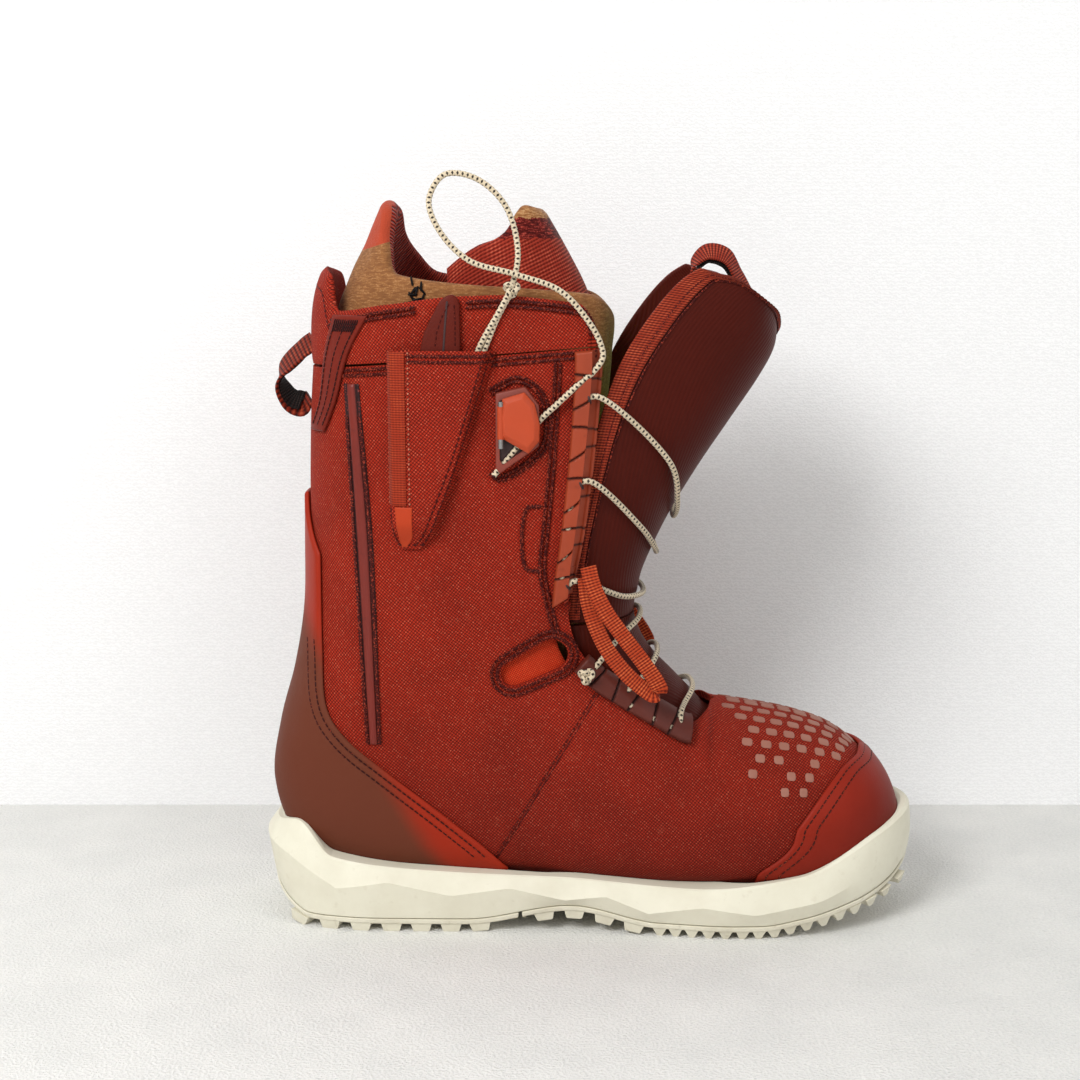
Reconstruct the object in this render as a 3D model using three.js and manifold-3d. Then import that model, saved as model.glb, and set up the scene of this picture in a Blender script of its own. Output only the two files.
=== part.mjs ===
// A soft snowboard boot for the right foot, in millimetres, +Z up and +X towards the toe.
// The origin is on the ground in the middle of the heel tread, and -Y is the outer (lateral) side.
//
// The upper, the liner and the tongue are skins: rows of cross-sections that run from the toe over the
// instep and up the shaft. Panels, straps and rails are cut from a skin as sheets between two offsets,
// so whatever lies on a skin moves with it.
import * as THREE from "three";
import Module from "manifold-3d";
import { mergeVertices } from "three/addons/utils/BufferGeometryUtils.js";

const wasm = await Module();
wasm.setup();

// ---------------------------------------------------------------- driving dimensions
const clearance = 0.4; // between pieces that lie face to face
const layerGap = 0.8; // between curved layers, whose facets don't line up
const capGap = 1.2; // under the toe cap and the heel counter, on the tightest curves
const shellWall = 3.2; // outer fabric, foam and lining of the upper
const linerWall = 7; // heat-mouldable foam of the inner boot
const overlay = 1.7; // moulded toe cap, heel counter and pocket panels
const railThickness = 4.6; // lace rails
const upperRailWidth = 9.5;
const lowerRailWidth = 8;
const laceDiameter = 2.6;
const webbing = 1.5; // thickness of the pull loops
const tabThickness = 1.6;
const soleHeelX = -50;
const soleToeX = 262;
const outsolePlate = 2.4;
const lugGap = 5;
const lugDepth = 4.2;
const shankWidth = 24;
const shankThickness = 1.6;
const handleTravelGap = 0.8; // round the handle in its pocket
const pinRadius = 1.1;
const pinClearance = 0.3;

const lateral = -1;
const medial = 1;
const sides = [["lateral", lateral], ["medial", medial]];

// ---------------------------------------------------------------- small tools
const lerp = (a, b, t) => a + (b - a) * t;
const clamp = (t, low, high) => Math.min(high, Math.max(low, t));
const smooth = (t) => t * t * (3 - 2 * t);

// A smooth function through [x, value] points that never overshoots them.
function profile(points) {
  const slope = points.slice(1).map((p, i) => (p[1] - points[i][1]) / (p[0] - points[i][0]));
  const tangent = points.map((_, i) => {
    if (i === 0) return slope[0];
    if (i === points.length - 1) return slope[i - 1];
    const [a, b] = [slope[i - 1], slope[i]];
    return a * b <= 0 ? 0 : (2 * a * b) / (a + b);
  });
  return (x) => {
    let i = points.findIndex((p) => x < p[0]) - 1;
    if (i === -2) i = points.length - 2;
    i = clamp(i, 0, points.length - 2);
    const width = points[i + 1][0] - points[i][0];
    const t = clamp((x - points[i][0]) / width, 0, 1);
    const [t2, t3] = [t * t, t * t * t];
    return (
      (2 * t3 - 3 * t2 + 1) * points[i][1] +
      (t3 - 2 * t2 + t) * width * tangent[i] +
      (3 * t2 - 2 * t3) * points[i + 1][1] +
      (t3 - t2) * width * tangent[i + 1]
    );
  };
}

// Catmull-Rom through the rows of a table, one column at a time.
function rowAt(rows, u) {
  const i = clamp(Math.floor(u), 0, rows.length - 2);
  const t = u - i;
  const pick = (k) => rows[clamp(k, 0, rows.length - 1)];
  const [a, b, c, d] = [pick(i - 1), pick(i), pick(i + 1), pick(i + 2)];
  return b.map((_, k) => {
    const [p, q, r, s] = [a[k], b[k], c[k], d[k]];
    const bend = 2 * p - 5 * q + 4 * r - s;
    const twist = 3 * q - p - 3 * r + s;
    return 0.5 * (2 * q + (r - p) * t + bend * t * t + twist * t * t * t);
  });
}

// A skin is a table of sections. Each row is
// [front x, front z, back x, back z, lateral width, medial width, half gap at the front edge, where the
//  section is widest (0 front, 1 back), roundness of its front, roundness of its back].
// v is 0 at the middle of the back or sole, -1 at the lateral front edge and 1 at the medial one.
const WIDEST = 0.5;
function makeSkin(rows) {
  const section = (u) => {
    const [fx, fz, bx, bz, lat, med, gap, widest, front, back] = rowAt(rows, u);
    return { fx, fz, bx, bz, lat, med, gap: Math.max(0, gap), widest, front, back };
  };
  const point = (u, v) => {
    const c = section(u);
    const side = v < 0 ? lateral : medial;
    const width = v < 0 ? c.lat : c.med;
    const a = Math.min(1, Math.abs(v));
    let s, w;
    if (a <= WIDEST) {
      const angle = (a / WIDEST) * (Math.PI / 2);
      s = c.widest + (1 - c.widest) * Math.pow(Math.max(0, Math.cos(angle)), 2 / c.back);
      w = width * Math.pow(Math.sin(angle), 2 / c.back);
    } else {
      const angle = ((a - WIDEST) / (1 - WIDEST)) * (Math.PI / 2);
      s = c.widest * (1 - Math.pow(Math.sin(angle), 2 / c.front));
      w = c.gap + (width - c.gap) * Math.pow(Math.max(0, Math.cos(angle)), 2 / c.front);
    }
    return new THREE.Vector3(lerp(c.fx, c.bx, s), side * w, lerp(c.fz, c.bz, s));
  };
  const normal = (u, v) => {
    const du = 0.03;
    const dv = 0.012;
    const [low, high] = [Math.max(0, u - du), Math.min(rows.length - 1, u + du)];
    const edge = 1 - 1e-4;
    const [left, right] = [Math.max(-edge, v - dv), Math.min(edge, v + dv)];
    const along = point(high, v).sub(point(low, v));
    const across = point(u, right).sub(point(u, left));
    const n = along.cross(across).normalize();
    const c = section(Math.min(rows.length - 1, u + 1));
    const middle = new THREE.Vector3((c.fx + c.bx) / 2, 0, (c.fz + c.bz) / 2);
    if (n.dot(point(u, v).sub(middle)) < 0) n.negate();
    return n;
  };
  // The place on a skin seen from the side at (x, z).
  const place = (x, z, side) => {
    const off = (u) => {
      const c = section(u);
      return (x - c.fx) * (c.bz - c.fz) - (z - c.fz) * (c.bx - c.fx);
    };
    let [low, high] = [0.5, rows.length - 1];
    const sign = Math.sign(off(low));
    for (let u = low; u < high; u += 0.25)
      if (Math.sign(off(u)) !== sign) {
        [low, high] = [u - 0.25, u];
        break;
      }
    for (let i = 0; i < 30; i++) {
      const mid = (low + high) / 2;
      if (Math.sign(off(mid)) === sign) low = mid;
      else high = mid;
    }
    const c = section(low);
    const [ax, az] = [c.bx - c.fx, c.bz - c.fz];
    const s = clamp(((x - c.fx) * ax + (z - c.fz) * az) / (ax * ax + az * az), 0, 1);
    return { u: low, v: side * acrossFor(c, s) };
  };
  const acrossFor = (c, s) => {
    if (s >= c.widest) {
      const cosine = Math.pow((s - c.widest) / (1 - c.widest), c.back / 2);
      return (WIDEST * Math.acos(clamp(cosine, -1, 1))) / (Math.PI / 2);
    }
    const sine = Math.pow(clamp(1 - s / c.widest, 0, 1), c.front / 2);
    return WIDEST + ((1 - WIDEST) * Math.asin(clamp(sine, -1, 1))) / (Math.PI / 2);
  };
  // v at a distance back from the front edge, measured along the section.
  const behindEdge = (u, distance) => {
    const c = section(u);
    return acrossFor(c, distance / Math.hypot(c.bx - c.fx, c.bz - c.fz));
  };
  const at = (u, v) => ({ p: point(u, v), n: normal(u, v) });
  const seen = (x, z, side) => {
    const { u, v } = place(x, z, side);
    return at(u, v);
  };
  return { section, point, normal, place, behindEdge, at, seen };
}

// ---------------------------------------------------------------- the three skins
// Outer face of the upper.
const upper = makeSkin([
  [255, 44, 255, 42, 0.6, 0.6, 0, 0.5, 2, 2],
  [252.5, 57, 253, 34, 15, 17, 0, 0.5, 2, 3],
  [247, 69, 248, 29, 24, 27, 0, 0.5, 2, 3.5],
  [237, 80.5, 239, 25, 33.5, 36, 0, 0.52, 2, 4],
  [223, 91, 224, 21.5, 42, 43, 0, 0.55, 2, 4],
  [205, 97.5, 205, 20.5, 48, 46.5, 0, 0.58, 2, 4],
  [186, 101.5, 184, 20, 51, 48, 0, 0.6, 2, 4],
  [166.5, 104.5, 160, 20, 51, 46.5, 0, 0.6, 2, 4],
  [160.5, 103, 150, 20, 50, 45.5, 19, 0.6, 2, 4],
  [151, 99.5, 136, 20, 48.5, 44, 29, 0.58, 2.1, 4],
  [135, 108.5, 108, 21, 45.5, 41, 33, 0.56, 2.1, 4],
  [120, 118, 74, 22.5, 42.5, 39.5, 36, 0.54, 2.2, 3.8],
  [107, 127.5, 36, 24, 41.5, 40, 38.5, 0.52, 2.3, 3.5],
  [98, 139, -4, 26.5, 42, 41.5, 41, 0.5, 2.4, 3.2],
  [94, 152, -36, 40, 43.5, 43.5, 43.5, 0.48, 2.5, 2.8],
  [93.5, 164, -47, 66, 45.5, 45.5, 46, 0.46, 2.5, 2.5],
  [95, 177, -43.5, 95, 47.5, 47.5, 48.5, 0.45, 2.5, 2.4],
  [97.5, 192, -36, 123, 49, 49, 50.5, 0.45, 2.5, 2.3],
  [100, 210, -31, 153, 50.5, 50.5, 52, 0.45, 2.5, 2.3],
  [102.5, 232, -30, 186, 51.5, 51.5, 53, 0.45, 2.5, 2.3],
  [104.5, 255, -29.5, 222, 52, 52, 53.5, 0.45, 2.5, 2.3],
  [105.5, 275, -28, 258, 52.5, 52.5, 54, 0.45, 2.5, 2.3],
  [104, 291, -24.5, 297, 52.5, 52.5, 53.5, 0.45, 2.5, 2.3],
  [102, 307, -20, 322, 52.5, 52.5, 53.5, 0.45, 2.5, 2.3],
]);
const seamU = 11.55; // vamp seam

// Outer face of the inner boot.
const liner = makeSkin([
  [243.5, 47, 243.5, 45, 0.6, 0.6, 0, 0.5, 2, 2],
  [241, 58, 241.5, 38.5, 15, 16, 0, 0.5, 2, 3],
  [234, 69, 235, 34, 26, 28, 0, 0.5, 2, 3.5],
  [220, 79, 221, 29.5, 35, 36, 0, 0.52, 2, 4],
  [201, 85.5, 201, 28.5, 41.5, 39.5, 0, 0.55, 2, 4],
  [180, 84, 180, 28, 44.5, 41, 0, 0.6, 2.2, 4],
  [161, 85, 157, 28, 43.5, 39, 0, 0.6, 2.3, 4],
  [147.5, 95, 135, 28, 40.5, 36, 0, 0.58, 2.3, 4],
  [136, 106, 106, 28.5, 36.5, 32.5, 0, 0.56, 2.3, 4],
  [126, 118, 72, 30, 32, 30.5, 0, 0.54, 2.3, 3.8],
  [120, 131, 34, 31.5, 31, 30.5, 0, 0.52, 2.3, 3.5],
  [117, 144, -2, 34, 31, 31, 0, 0.5, 2.3, 3.2],
  [114, 156, -29, 47, 33, 33, 0, 0.48, 2.3, 2.8],
  [111.5, 168, -39, 70, 35.5, 35.5, 0, 0.46, 2.4, 2.5],
  [110.5, 181, -35.5, 97, 38, 38, 0, 0.45, 2.5, 2.4],
  [110, 197, -28, 126, 39.5, 39.5, 0, 0.45, 2.5, 2.3],
  [110, 217, -23, 158, 40.5, 40.5, 0, 0.45, 2.6, 2.3],
  [111.5, 242, -22.5, 203, 41, 41, 0, 0.45, 2.7, 2.3],
  [113.5, 266, -21, 247, 41, 41, 0, 0.45, 2.8, 2.3],
  [115, 289, -16.5, 288, 41, 41, 0, 0.45, 2.8, 2.3],
  [112, 304, -9, 309, 40.5, 40.5, 0, 0.45, 2.8, 2.3],
  [106, 318, 0, 328, 39, 39, 0, 0.45, 2.8, 2.3],
  [99, 333, 8, 346, 36, 36, 0, 0.45, 2.8, 2.3],
]);

// Outer face of the tongue, swung open. Front is its middle line and back is the edge of its wings.
const tongue = makeSkin([
  [182, 97.6, 177, 87, 22, 21, 0, 1, 2.3, 2],
  [164.5, 98.8, 159, 87, 26, 26, 0, 1, 2.3, 2],
  [154.8, 108, 146, 93, 28.5, 28.5, 0, 1, 2.3, 2],
  [144.8, 118.3, 131, 100, 31, 31, 0, 1, 2.3, 2],
  [136, 127.5, 113, 106, 33, 33, 0, 1, 2.3, 2],
  [129.3, 138, 99, 124, 34, 34, 0, 1, 2.3, 2],
  [126, 149.5, 94, 148, 37, 37, 0, 1, 2.3, 2],
  [127.8, 161, 94.5, 167, 39, 39, 0, 1, 2.3, 2],
  [131, 173, 96.5, 188, 41.5, 41.5, 0, 1, 2.3, 2],
  [142, 196.5, 102, 220, 44, 44, 0, 1, 2.3, 2],
  [156, 220, 108, 247, 45, 45, 0, 1, 2.3, 2],
  [170, 241, 117, 272, 45.6, 45.6, 0, 1, 2.3, 2],
  [184.3, 262.5, 130, 293, 45.6, 45.6, 0, 1, 2.3, 2],
  [192, 277, 144, 309, 44.4, 44.4, 0, 1, 2.3, 2],
  [196, 289, 160, 316, 42, 42, 0, 1, 2.3, 2],
]);
const tongueNeckU = 6;
const tongueTopU = 14;

// ---------------------------------------------------------------- solids
function toManifold(geometry) {
  const bare = new THREE.BufferGeometry().setAttribute("position", geometry.getAttribute("position"));
  if (geometry.index) bare.setIndex(geometry.index);
  const merged = mergeVertices(bare, 1e-3);
  return new wasm.Manifold(
    new wasm.Mesh({
      numProp: 3,
      vertProperties: new Float32Array(merged.attributes.position.array),
      triVerts: new Uint32Array(merged.index.array),
    }),
  );
}

function fromManifold(solid) {
  const mesh = solid.getMesh();
  const positions = new Float32Array(mesh.numVert * 3);
  for (let i = 0; i < mesh.numVert; i++)
    positions.set(mesh.vertProperties.subarray(i * mesh.numProp, i * mesh.numProp + 3), i * 3);
  return new THREE.BufferGeometry()
    .setAttribute("position", new THREE.BufferAttribute(positions, 3))
    .setIndex(new THREE.BufferAttribute(mesh.triVerts, 1));
}

function closed(points, faces) {
  let volume = 0;
  for (const [a, b, c] of faces) volume += points[a].dot(points[b].clone().cross(points[c]));
  const positions = new Float32Array(points.flatMap((p) => [p.x, p.y, p.z]));
  const index = faces.flatMap(([a, b, c]) => (volume < 0 ? [a, c, b] : [a, b, c]));
  return new THREE.BufferGeometry()
    .setAttribute("position", new THREE.BufferAttribute(positions, 3))
    .setIndex(index);
}

// A closed sheet between two offsets of a patch. at(a, b) gives a point and its outward normal.
// Its first closedRows rows meet themselves round the front, and the tip of row 0 is then capped.
function sheet({ at, rows, columns, inner, outer, closedRows = -1 }) {
  const points = [];
  const offsets = [outer, inner].map((o) => (typeof o === "function" ? o : () => o));
  for (const offset of offsets)
    for (let i = 0; i <= rows; i++)
      for (let j = 0; j <= columns; j++) {
        const { p, n } = at(i / rows, j / columns);
        points.push(p.clone().addScaledVector(n, offset(i / rows, j / columns)));
      }
  const layer = (rows + 1) * (columns + 1);
  const id = (k, i, j) => k * layer + i * (columns + 1) + (i <= closedRows && j === columns ? 0 : j);
  const faces = [];
  const quad = (a, b, c, d) => faces.push([a, b, c], [a, c, d]);
  for (let i = 0; i < rows; i++)
    for (let j = 0; j < columns; j++) {
      quad(id(0, i, j), id(0, i + 1, j), id(0, i + 1, j + 1), id(0, i, j + 1));
      quad(id(1, i, j), id(1, i, j + 1), id(1, i + 1, j + 1), id(1, i + 1, j));
    }
  for (let i = Math.max(0, closedRows); i < rows; i++) {
    quad(id(0, i, 0), id(1, i, 0), id(1, i + 1, 0), id(0, i + 1, 0));
    quad(id(0, i, columns), id(0, i + 1, columns), id(1, i + 1, columns), id(1, i, columns));
  }
  for (let j = 0; j < columns; j++) quad(id(0, rows, j), id(1, rows, j), id(1, rows, j + 1), id(0, rows, j + 1));
  if (closedRows >= 0)
    for (let j = 1; j + 1 < columns; j++) {
      faces.push([id(0, 0, 0), id(0, 0, j), id(0, 0, j + 1)]);
      faces.push([id(1, 0, 0), id(1, 0, j + 1), id(1, 0, j)]);
    }
  else for (let j = 0; j < columns; j++) quad(id(0, 0, j), id(0, 0, j + 1), id(1, 0, j + 1), id(1, 0, j));
  return closed(points, faces);
}

// A closed body lofted through rings of the same number of points.
function loft(rings) {
  const count = rings[0].length;
  const points = rings.flat();
  const faces = [];
  for (let i = 0; i + 1 < rings.length; i++)
    for (let j = 0; j < count; j++) {
      const [a, b] = [i * count + j, i * count + ((j + 1) % count)];
      faces.push([a, b, b + count], [a, b + count, a + count]);
    }
  const flat = rings[0].map((_, j) => j);
  for (let j = 1; j + 1 < count; j++) {
    faces.push([0, flat[j + 1], flat[j]]);
    const top = (rings.length - 1) * count;
    faces.push([top, top + j, top + j + 1]);
  }
  return closed(points, faces);
}

// The full volume inside a skin, grown by an offset.
function skinVolume(skin, grow, toU, rows, around = 26) {
  const rings = [];
  for (let i = 0; i <= rows; i++) {
    const u = lerp(0, toU, i / rows);
    const ring = [];
    for (let j = 0; j < around; j++) {
      const v = -1 + (2 * (j + 0.5)) / around;
      ring.push(skin.point(u, v).addScaledVector(skin.normal(u, v), grow(u)));
    }
    rings.push(ring);
  }
  return loft(rings);
}

function tube(points, radius, steps, segments = 8) {
  const ring = Array.from({ length: segments }, (_, i) => {
    const angle = (i / segments) * 2 * Math.PI;
    return new THREE.Vector2(radius * Math.cos(angle), radius * Math.sin(angle));
  });
  const path = new THREE.CatmullRomCurve3(points.map((p) => new THREE.Vector3(...p)), false, "centripetal");
  return new THREE.ExtrudeGeometry(new THREE.Shape(ring), { steps, extrudePath: path });
}

// A side-view outline [x, z] extruded across the boot from y0 to y1.
function crossPrism(outline, y0, y1) {
  const rings = [y0, y1].map((y) => outline.map(([x, z]) => new THREE.Vector3(x, y, z)));
  const shape = outline.map(([x, z]) => new THREE.Vector2(x, z));
  const caps = THREE.ShapeUtils.triangulateShape(shape, []);
  const count = outline.length;
  const faces = [];
  for (const [a, b, c] of caps) faces.push([a, b, c], [a + count, c + count, b + count]);
  const clockwise = THREE.ShapeUtils.isClockWise(shape);
  for (let j = 0; j < count; j++) {
    const k = (j + 1) % count;
    const quad = [[j, k + count, k], [j, j + count, k + count]];
    faces.push(...(clockwise ? quad.map(([a, b, c]) => [a, c, b]) : quad));
  }
  return closed(rings.flat(), faces);
}

// A slot outline with round ends, from a to b.
function slotOutline([ax, az], [bx, bz], radiusA, radiusB, segments = 6) {
  const heading = Math.atan2(bz - az, bx - ax);
  const arc = (cx, cz, r, from) =>
    Array.from({ length: segments + 1 }, (_, i) => {
      const angle = from + (i / segments) * Math.PI;
      return [cx + r * Math.cos(angle), cz + r * Math.sin(angle)];
    });
  return [...arc(bx, bz, radiusB, heading - Math.PI / 2), ...arc(ax, az, radiusA, heading + Math.PI / 2)];
}

// A ribbon of webbing that follows a path of [x, z] points, as wide as y1 - y0.
function ribbon(path, thickness, y0, y1, steps) {
  const curve = new THREE.SplineCurve(path.map(([x, z]) => new THREE.Vector2(x, z)));
  const rings = [];
  for (let i = 0; i <= steps; i++) {
    const p = curve.getPoint(i / steps);
    const t = curve.getTangent(i / steps);
    const n = new THREE.Vector2(-t.y, t.x).multiplyScalar(thickness / 2);
    const corner = (sign, y) => new THREE.Vector3(p.x + sign * n.x, y, p.y + sign * n.y);
    rings.push([corner(1, y0), corner(1, y1), corner(-1, y1), corner(-1, y0)]);
  }
  return loft(rings);
}

// ---------------------------------------------------------------- materials
const paint = (color, roughness, metalness = 0) => new THREE.MeshStandardMaterial({ color, roughness, metalness });
const materials = {
  fabric: paint(0x9c2a1c, 0.85),
  coated: paint(0xa5301f, 0.55),
  rubber: paint(0xe9e2cc, 0.7),
  guide: paint(0xa0402c, 0.5),
  accent: paint(0xb8442a, 0.45),
  tongueSkin: paint(0x5c1512, 0.6),
  webbing: paint(0xa83a22, 0.8),
  linerFelt: paint(0xa88058, 0.9),
  linerRed: paint(0xa8322a, 0.85),
  lime: paint(0x7cf020, 0.8),
  lace: paint(0xe8dcc0, 0.8),
  handle: paint(0x6e3028, 0.4),
  board: paint(0x3a3a3a, 0.8),
  steel: paint(0x9a9a9a, 0.35, 1),
};

const boot = new THREE.Group();
boot.name = "snowboard_boot";
function add(name, geometry, material) {
  const mesh = new THREE.Mesh(geometry, material);
  mesh.name = name;
  boot.add(mesh);
}

function addPair(name, build, material) {
  for (const [label, side] of sides) add(`${name}_${label}`, build(side), material);
}

// The row of a patch at a, from a list with more rows where the skin bends most.
const graded = (list) => (a) => list[Math.round(a * (list.length - 1))];
const patch = (skin, toUV) => (a, b) => skin.at(...toUV(a, b));
// Goes round the front of a skin, b = 0 and 1 being its reach behind the lateral and the medial front edge.
const roundFront = (reach, b) => (b < 0.5 ? -1 : 1) * (1 - reach * Math.abs(2 * b - 1));

// A panel on the upper, drawn from the side: x runs from back(z) to front(z), z from low to high.
function sidePanel(side, { low, high, back, front, rows, columns, inner, outer }) {
  const [backX, frontX] = [profile(back), profile(front)];
  const at = (a, b) => {
    const z = lerp(low, high, a);
    return upper.seen(lerp(backX(z), frontX(z), b), z, side);
  };
  return sheet({ at, rows, columns, inner, outer });
}

// ---------------------------------------------------------------- sole
// The toe end of every sole profile is drawn for a sole that ends at x 262, and follows soleToeX.
const ballX = 205;
const drawnToeX = 262;
const followToe = ([x, value]) => [
  x <= ballX ? x : ballX + ((x - ballX) * (soleToeX - ballX)) / (drawnToeX - ballX),
  value,
];
const soleProfile = (points) => profile(points.map(followToe));

const soleLateral = soleProfile([
  [-50, 3], [-49, 12], [-46, 21], [-38, 31], [-22, 39.5], [0, 43.5], [40, 44.5], [90, 45],
  [135, 50], [172, 55], [205, 52.5], [228, 45], [245, 34], [256, 21], [260.5, 11], [262, 3],
]);
const soleMedial = soleProfile([
  [-50, 3], [-49, 12], [-46, 21], [-38, 31], [-22, 39.5], [0, 43.5], [40, 44], [90, 44],
  [135, 46.5], [172, 51.5], [205, 50.5], [228, 46], [245, 36.5], [256, 24], [260.5, 12.5], [262, 3],
]);
// Ground line of the tread: heel, arch, forefoot and toe spring.
const tread = soleProfile([
  [-50, 14], [-42, 6], [-30, 0], [45, 0], [95, 7], [138, 0],
  [185, 0], [205, 3], [225, 7.5], [240, 12], [252, 17.5], [262, 25],
]);
const midsoleTop = soleProfile([
  [-50, 48], [-37, 52], [-19, 36], [38, 30], [90, 27.7],
  [151, 24.5], [203, 30], [240, 47], [262, 55],
]);
const plateTop = (x) => tread(x) + lugDepth + outsolePlate;

// A slab with the outline of the sole, from z0(x) to z1(x).
function soleSlab(z0, z1, fromX, toX, rows, inset = 0) {
  const half = (toX - fromX) / 2;
  const at = (a, b) => {
    const x = fromX + half * (1 - Math.cos(Math.PI * a));
    const y = lerp(-soleLateral(x) + inset, soleMedial(x) - inset, b);
    return { p: new THREE.Vector3(x, y, z0(x)), n: new THREE.Vector3(0, 0, 1) };
  };
  const outer = (a) => {
    const x = fromX + half * (1 - Math.cos(Math.PI * a));
    return z1(x) - z0(x);
  };
  return sheet({ at, rows, columns: 8, inner: 0, outer });
}

const upperFloor = profile(
  Array.from({ length: 12 }, (_, i) => upper.section(13 - i)).map((c) => [c.bx, c.bz]),
);
const shankPath = (lift, more = 0) => [74 - more, 93, 112, 131, 150 + more].map((x) => [x, upperFloor(x) - lift]);

function midsole() {
  const wrap = overlay + capGap + layerGap + clearance;
  const roomFor = profile([[6.2, wrap], [6.9, clearance], [10.3, clearance], [10.9, wrap]]);
  const block = soleSlab((x) => plateTop(x) + layerGap, midsoleTop, soleHeelX, soleToeX, 24);
  const half = shankWidth / 2 + clearance;
  const deep = shankThickness + 4 * clearance;
  const groove = ribbon(shankPath(clearance + deep / 2 - 0.8, 1), deep, -half, half, 8);
  const solid = toManifold(block)
    .subtract(toManifold(skinVolume(upper, roomFor, 15.5, 44)))
    .subtract(toManifold(groove));
  return fromManifold(solid);
}

function outsole(fromX, toX, firstLug, lugs, pitch) {
  const plate = soleSlab((x) => tread(x) + lugDepth, plateTop, fromX, toX, 16);
  const ground = toManifold(soleSlab(tread, (x) => tread(x) + lugDepth + outsolePlate / 2, fromX, toX, 16, 1));
  let solid = toManifold(plate);
  for (let i = 0; i < lugs; i++) {
    const x = firstLug + i * pitch;
    const half = (pitch - lugGap) / 2;
    const bar = crossPrism([[x - half, -5], [x + half, -5], [x + half + 1, 60], [x - half - 1, 60]], -70, 70);
    solid = solid.add(ground.intersect(toManifold(bar)));
  }
  return fromManifold(solid);
}

function lastingBoard() {
  const top = shellWall + layerGap;
  return sheet({
    at: patch(upper, (a, b) => [lerp(2.6, 12.4, a), lerp(-0.27, 0.27, b)]),
    rows: 14,
    columns: 8,
    inner: -top - 2.9,
    outer: -top,
  });
}

add("midsole", midsole(), materials.rubber);
add("outsole_heel", outsole(soleHeelX, 70, -38, 6, 19), materials.rubber);
add("outsole_forefoot", outsole(72, soleToeX, 84, 10, 18), materials.rubber);
const shankMiddle = shankPath(2 * clearance + shankThickness / 2);
add("shank", ribbon(shankMiddle, shankThickness, -shankWidth / 2, shankWidth / 2, 8), materials.steel);
add("lasting_board", lastingBoard(), materials.board);

// ---------------------------------------------------------------- upper
const seamGap = 0.03; // between panels, in rows
const throatU = 7; // first row of the throat
const yokeU = 21.25;
const collarTop = profile([
  [0, 22.6], [0.12, 22.5], [0.2, 21.95], [0.35, 22.1], [0.6, 22.45], [0.85, 22.4], [0.95, 22], [1, 21.6],
]);

function vamp() {
  const rows = [0, 0.5, 1, 1.6, 2.3, 3.1, 4, 5, 6, throatU, 7.5, 8.2, 9, 9.8, 10.7, seamU];
  return sheet({
    at: patch(upper, (a, b) => [graded(rows)(a), lerp(-1, 1, b)]),
    rows: rows.length - 1,
    columns: 20,
    inner: -shellWall,
    outer: 0,
    closedRows: rows.indexOf(throatU),
  });
}

// The slot at the ankle that lets the quarter bend.
const flexSlot = slotOutline([68, 126.5], [86, 135.5], 6, 7.5);

const quarterRows = [
  seamU + seamGap, 12, 12.4, 12.8, 13.2, 13.6, 14, 14.5, 15, 15.7, 16.6, 17.6, 19, 20.2, yokeU,
];

function quarter(side) {
  const panel = sheet({
    at: patch(upper, (a, b) => [graded(quarterRows)(a), side * Math.max(0.003, b)]),
    rows: quarterRows.length - 1,
    columns: 12,
    inner: -shellWall,
    outer: 0,
  });
  const slot = crossPrism(flexSlot, Math.min(side * 20, side * 70), Math.max(side * 20, side * 70));
  return fromManifold(toManifold(panel).subtract(toManifold(slot)));
}

function collarBand() {
  return sheet({
    at: patch(upper, (a, b) => {
      const v = lerp(-1, 1, b);
      return [lerp(yokeU + seamGap, collarTop(Math.abs(v)), a), v];
    }),
    rows: 3,
    columns: 28,
    inner: -shellWall,
    outer: 0,
  });
}

function toeCap() {
  const edge = profile([[0, 6.15], [0.35, 6.05], [0.5, 5.2], [0.7, 4.1], [0.85, 3.3], [1, 3]]);
  const rows = [0, 0.09, 0.17, 0.27, 0.38, 0.51, 0.66, 0.82, 1];
  return sheet({
    at: patch(upper, (a, b) => {
      const v = lerp(-1, 1, b);
      return [edge(Math.abs(v)) * graded(rows)(a), v];
    }),
    rows: rows.length - 1,
    columns: 20,
    inner: capGap,
    outer: capGap + overlay,
    closedRows: rows.length - 1,
  });
}

function heelCounter() {
  const edge = [
    [65.2, 30], [54.3, 41], [36.5, 56.2], [8.9, 78.8], [-11, 95.8], [-19.2, 108.3], [-21.6, 139], [-22, 181],
  ];
  const places = edge.map(([x, z]) => upper.place(x, z, medial));
  const rows = [places[0].u, 11.6, ...quarterRows.slice(1, 13), 19.6];
  const reach = profile([...places.map(({ u, v }) => [u, v]), [19.6, 0.03]]);
  return sheet({
    at: patch(upper, (a, b) => {
      const u = graded(rows)(a);
      return [u, lerp(-reach(u), reach(u), b)];
    }),
    rows: rows.length - 1,
    columns: 16,
    inner: capGap,
    outer: capGap + overlay,
  });
}

function heelStiffener() {
  const face = shellWall + layerGap;
  const rows = quarterRows.slice(4, 11);
  return sheet({
    at: patch(upper, (a, b) => [graded(rows)(a), lerp(-5, 5, b) / 12]),
    rows: rows.length - 1,
    columns: 10,
    inner: -face - 1.6,
    outer: -face,
  });
}

function flexUnderlay(side) {
  const face = shellWall + layerGap;
  return sheet({
    at: patch(upper, (a, b) => {
      const u = lerp(12.3, 14.3, a);
      return [u, side * upper.behindEdge(u, lerp(9, 50, b))];
    }),
    rows: 5,
    columns: 6,
    inner: -face - 1.2,
    outer: -face,
  });
}

add("shell_vamp", vamp(), materials.fabric);
addPair("shell_quarter", quarter, materials.fabric);
add("collar_band", collarBand(), materials.fabric);
add("toe_cap", toeCap(), materials.coated);
add("heel_counter", heelCounter(), materials.coated);
add("heel_stiffener", heelStiffener(), materials.board);
addPair("flex_underlay", flexUnderlay, materials.accent);

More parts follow.
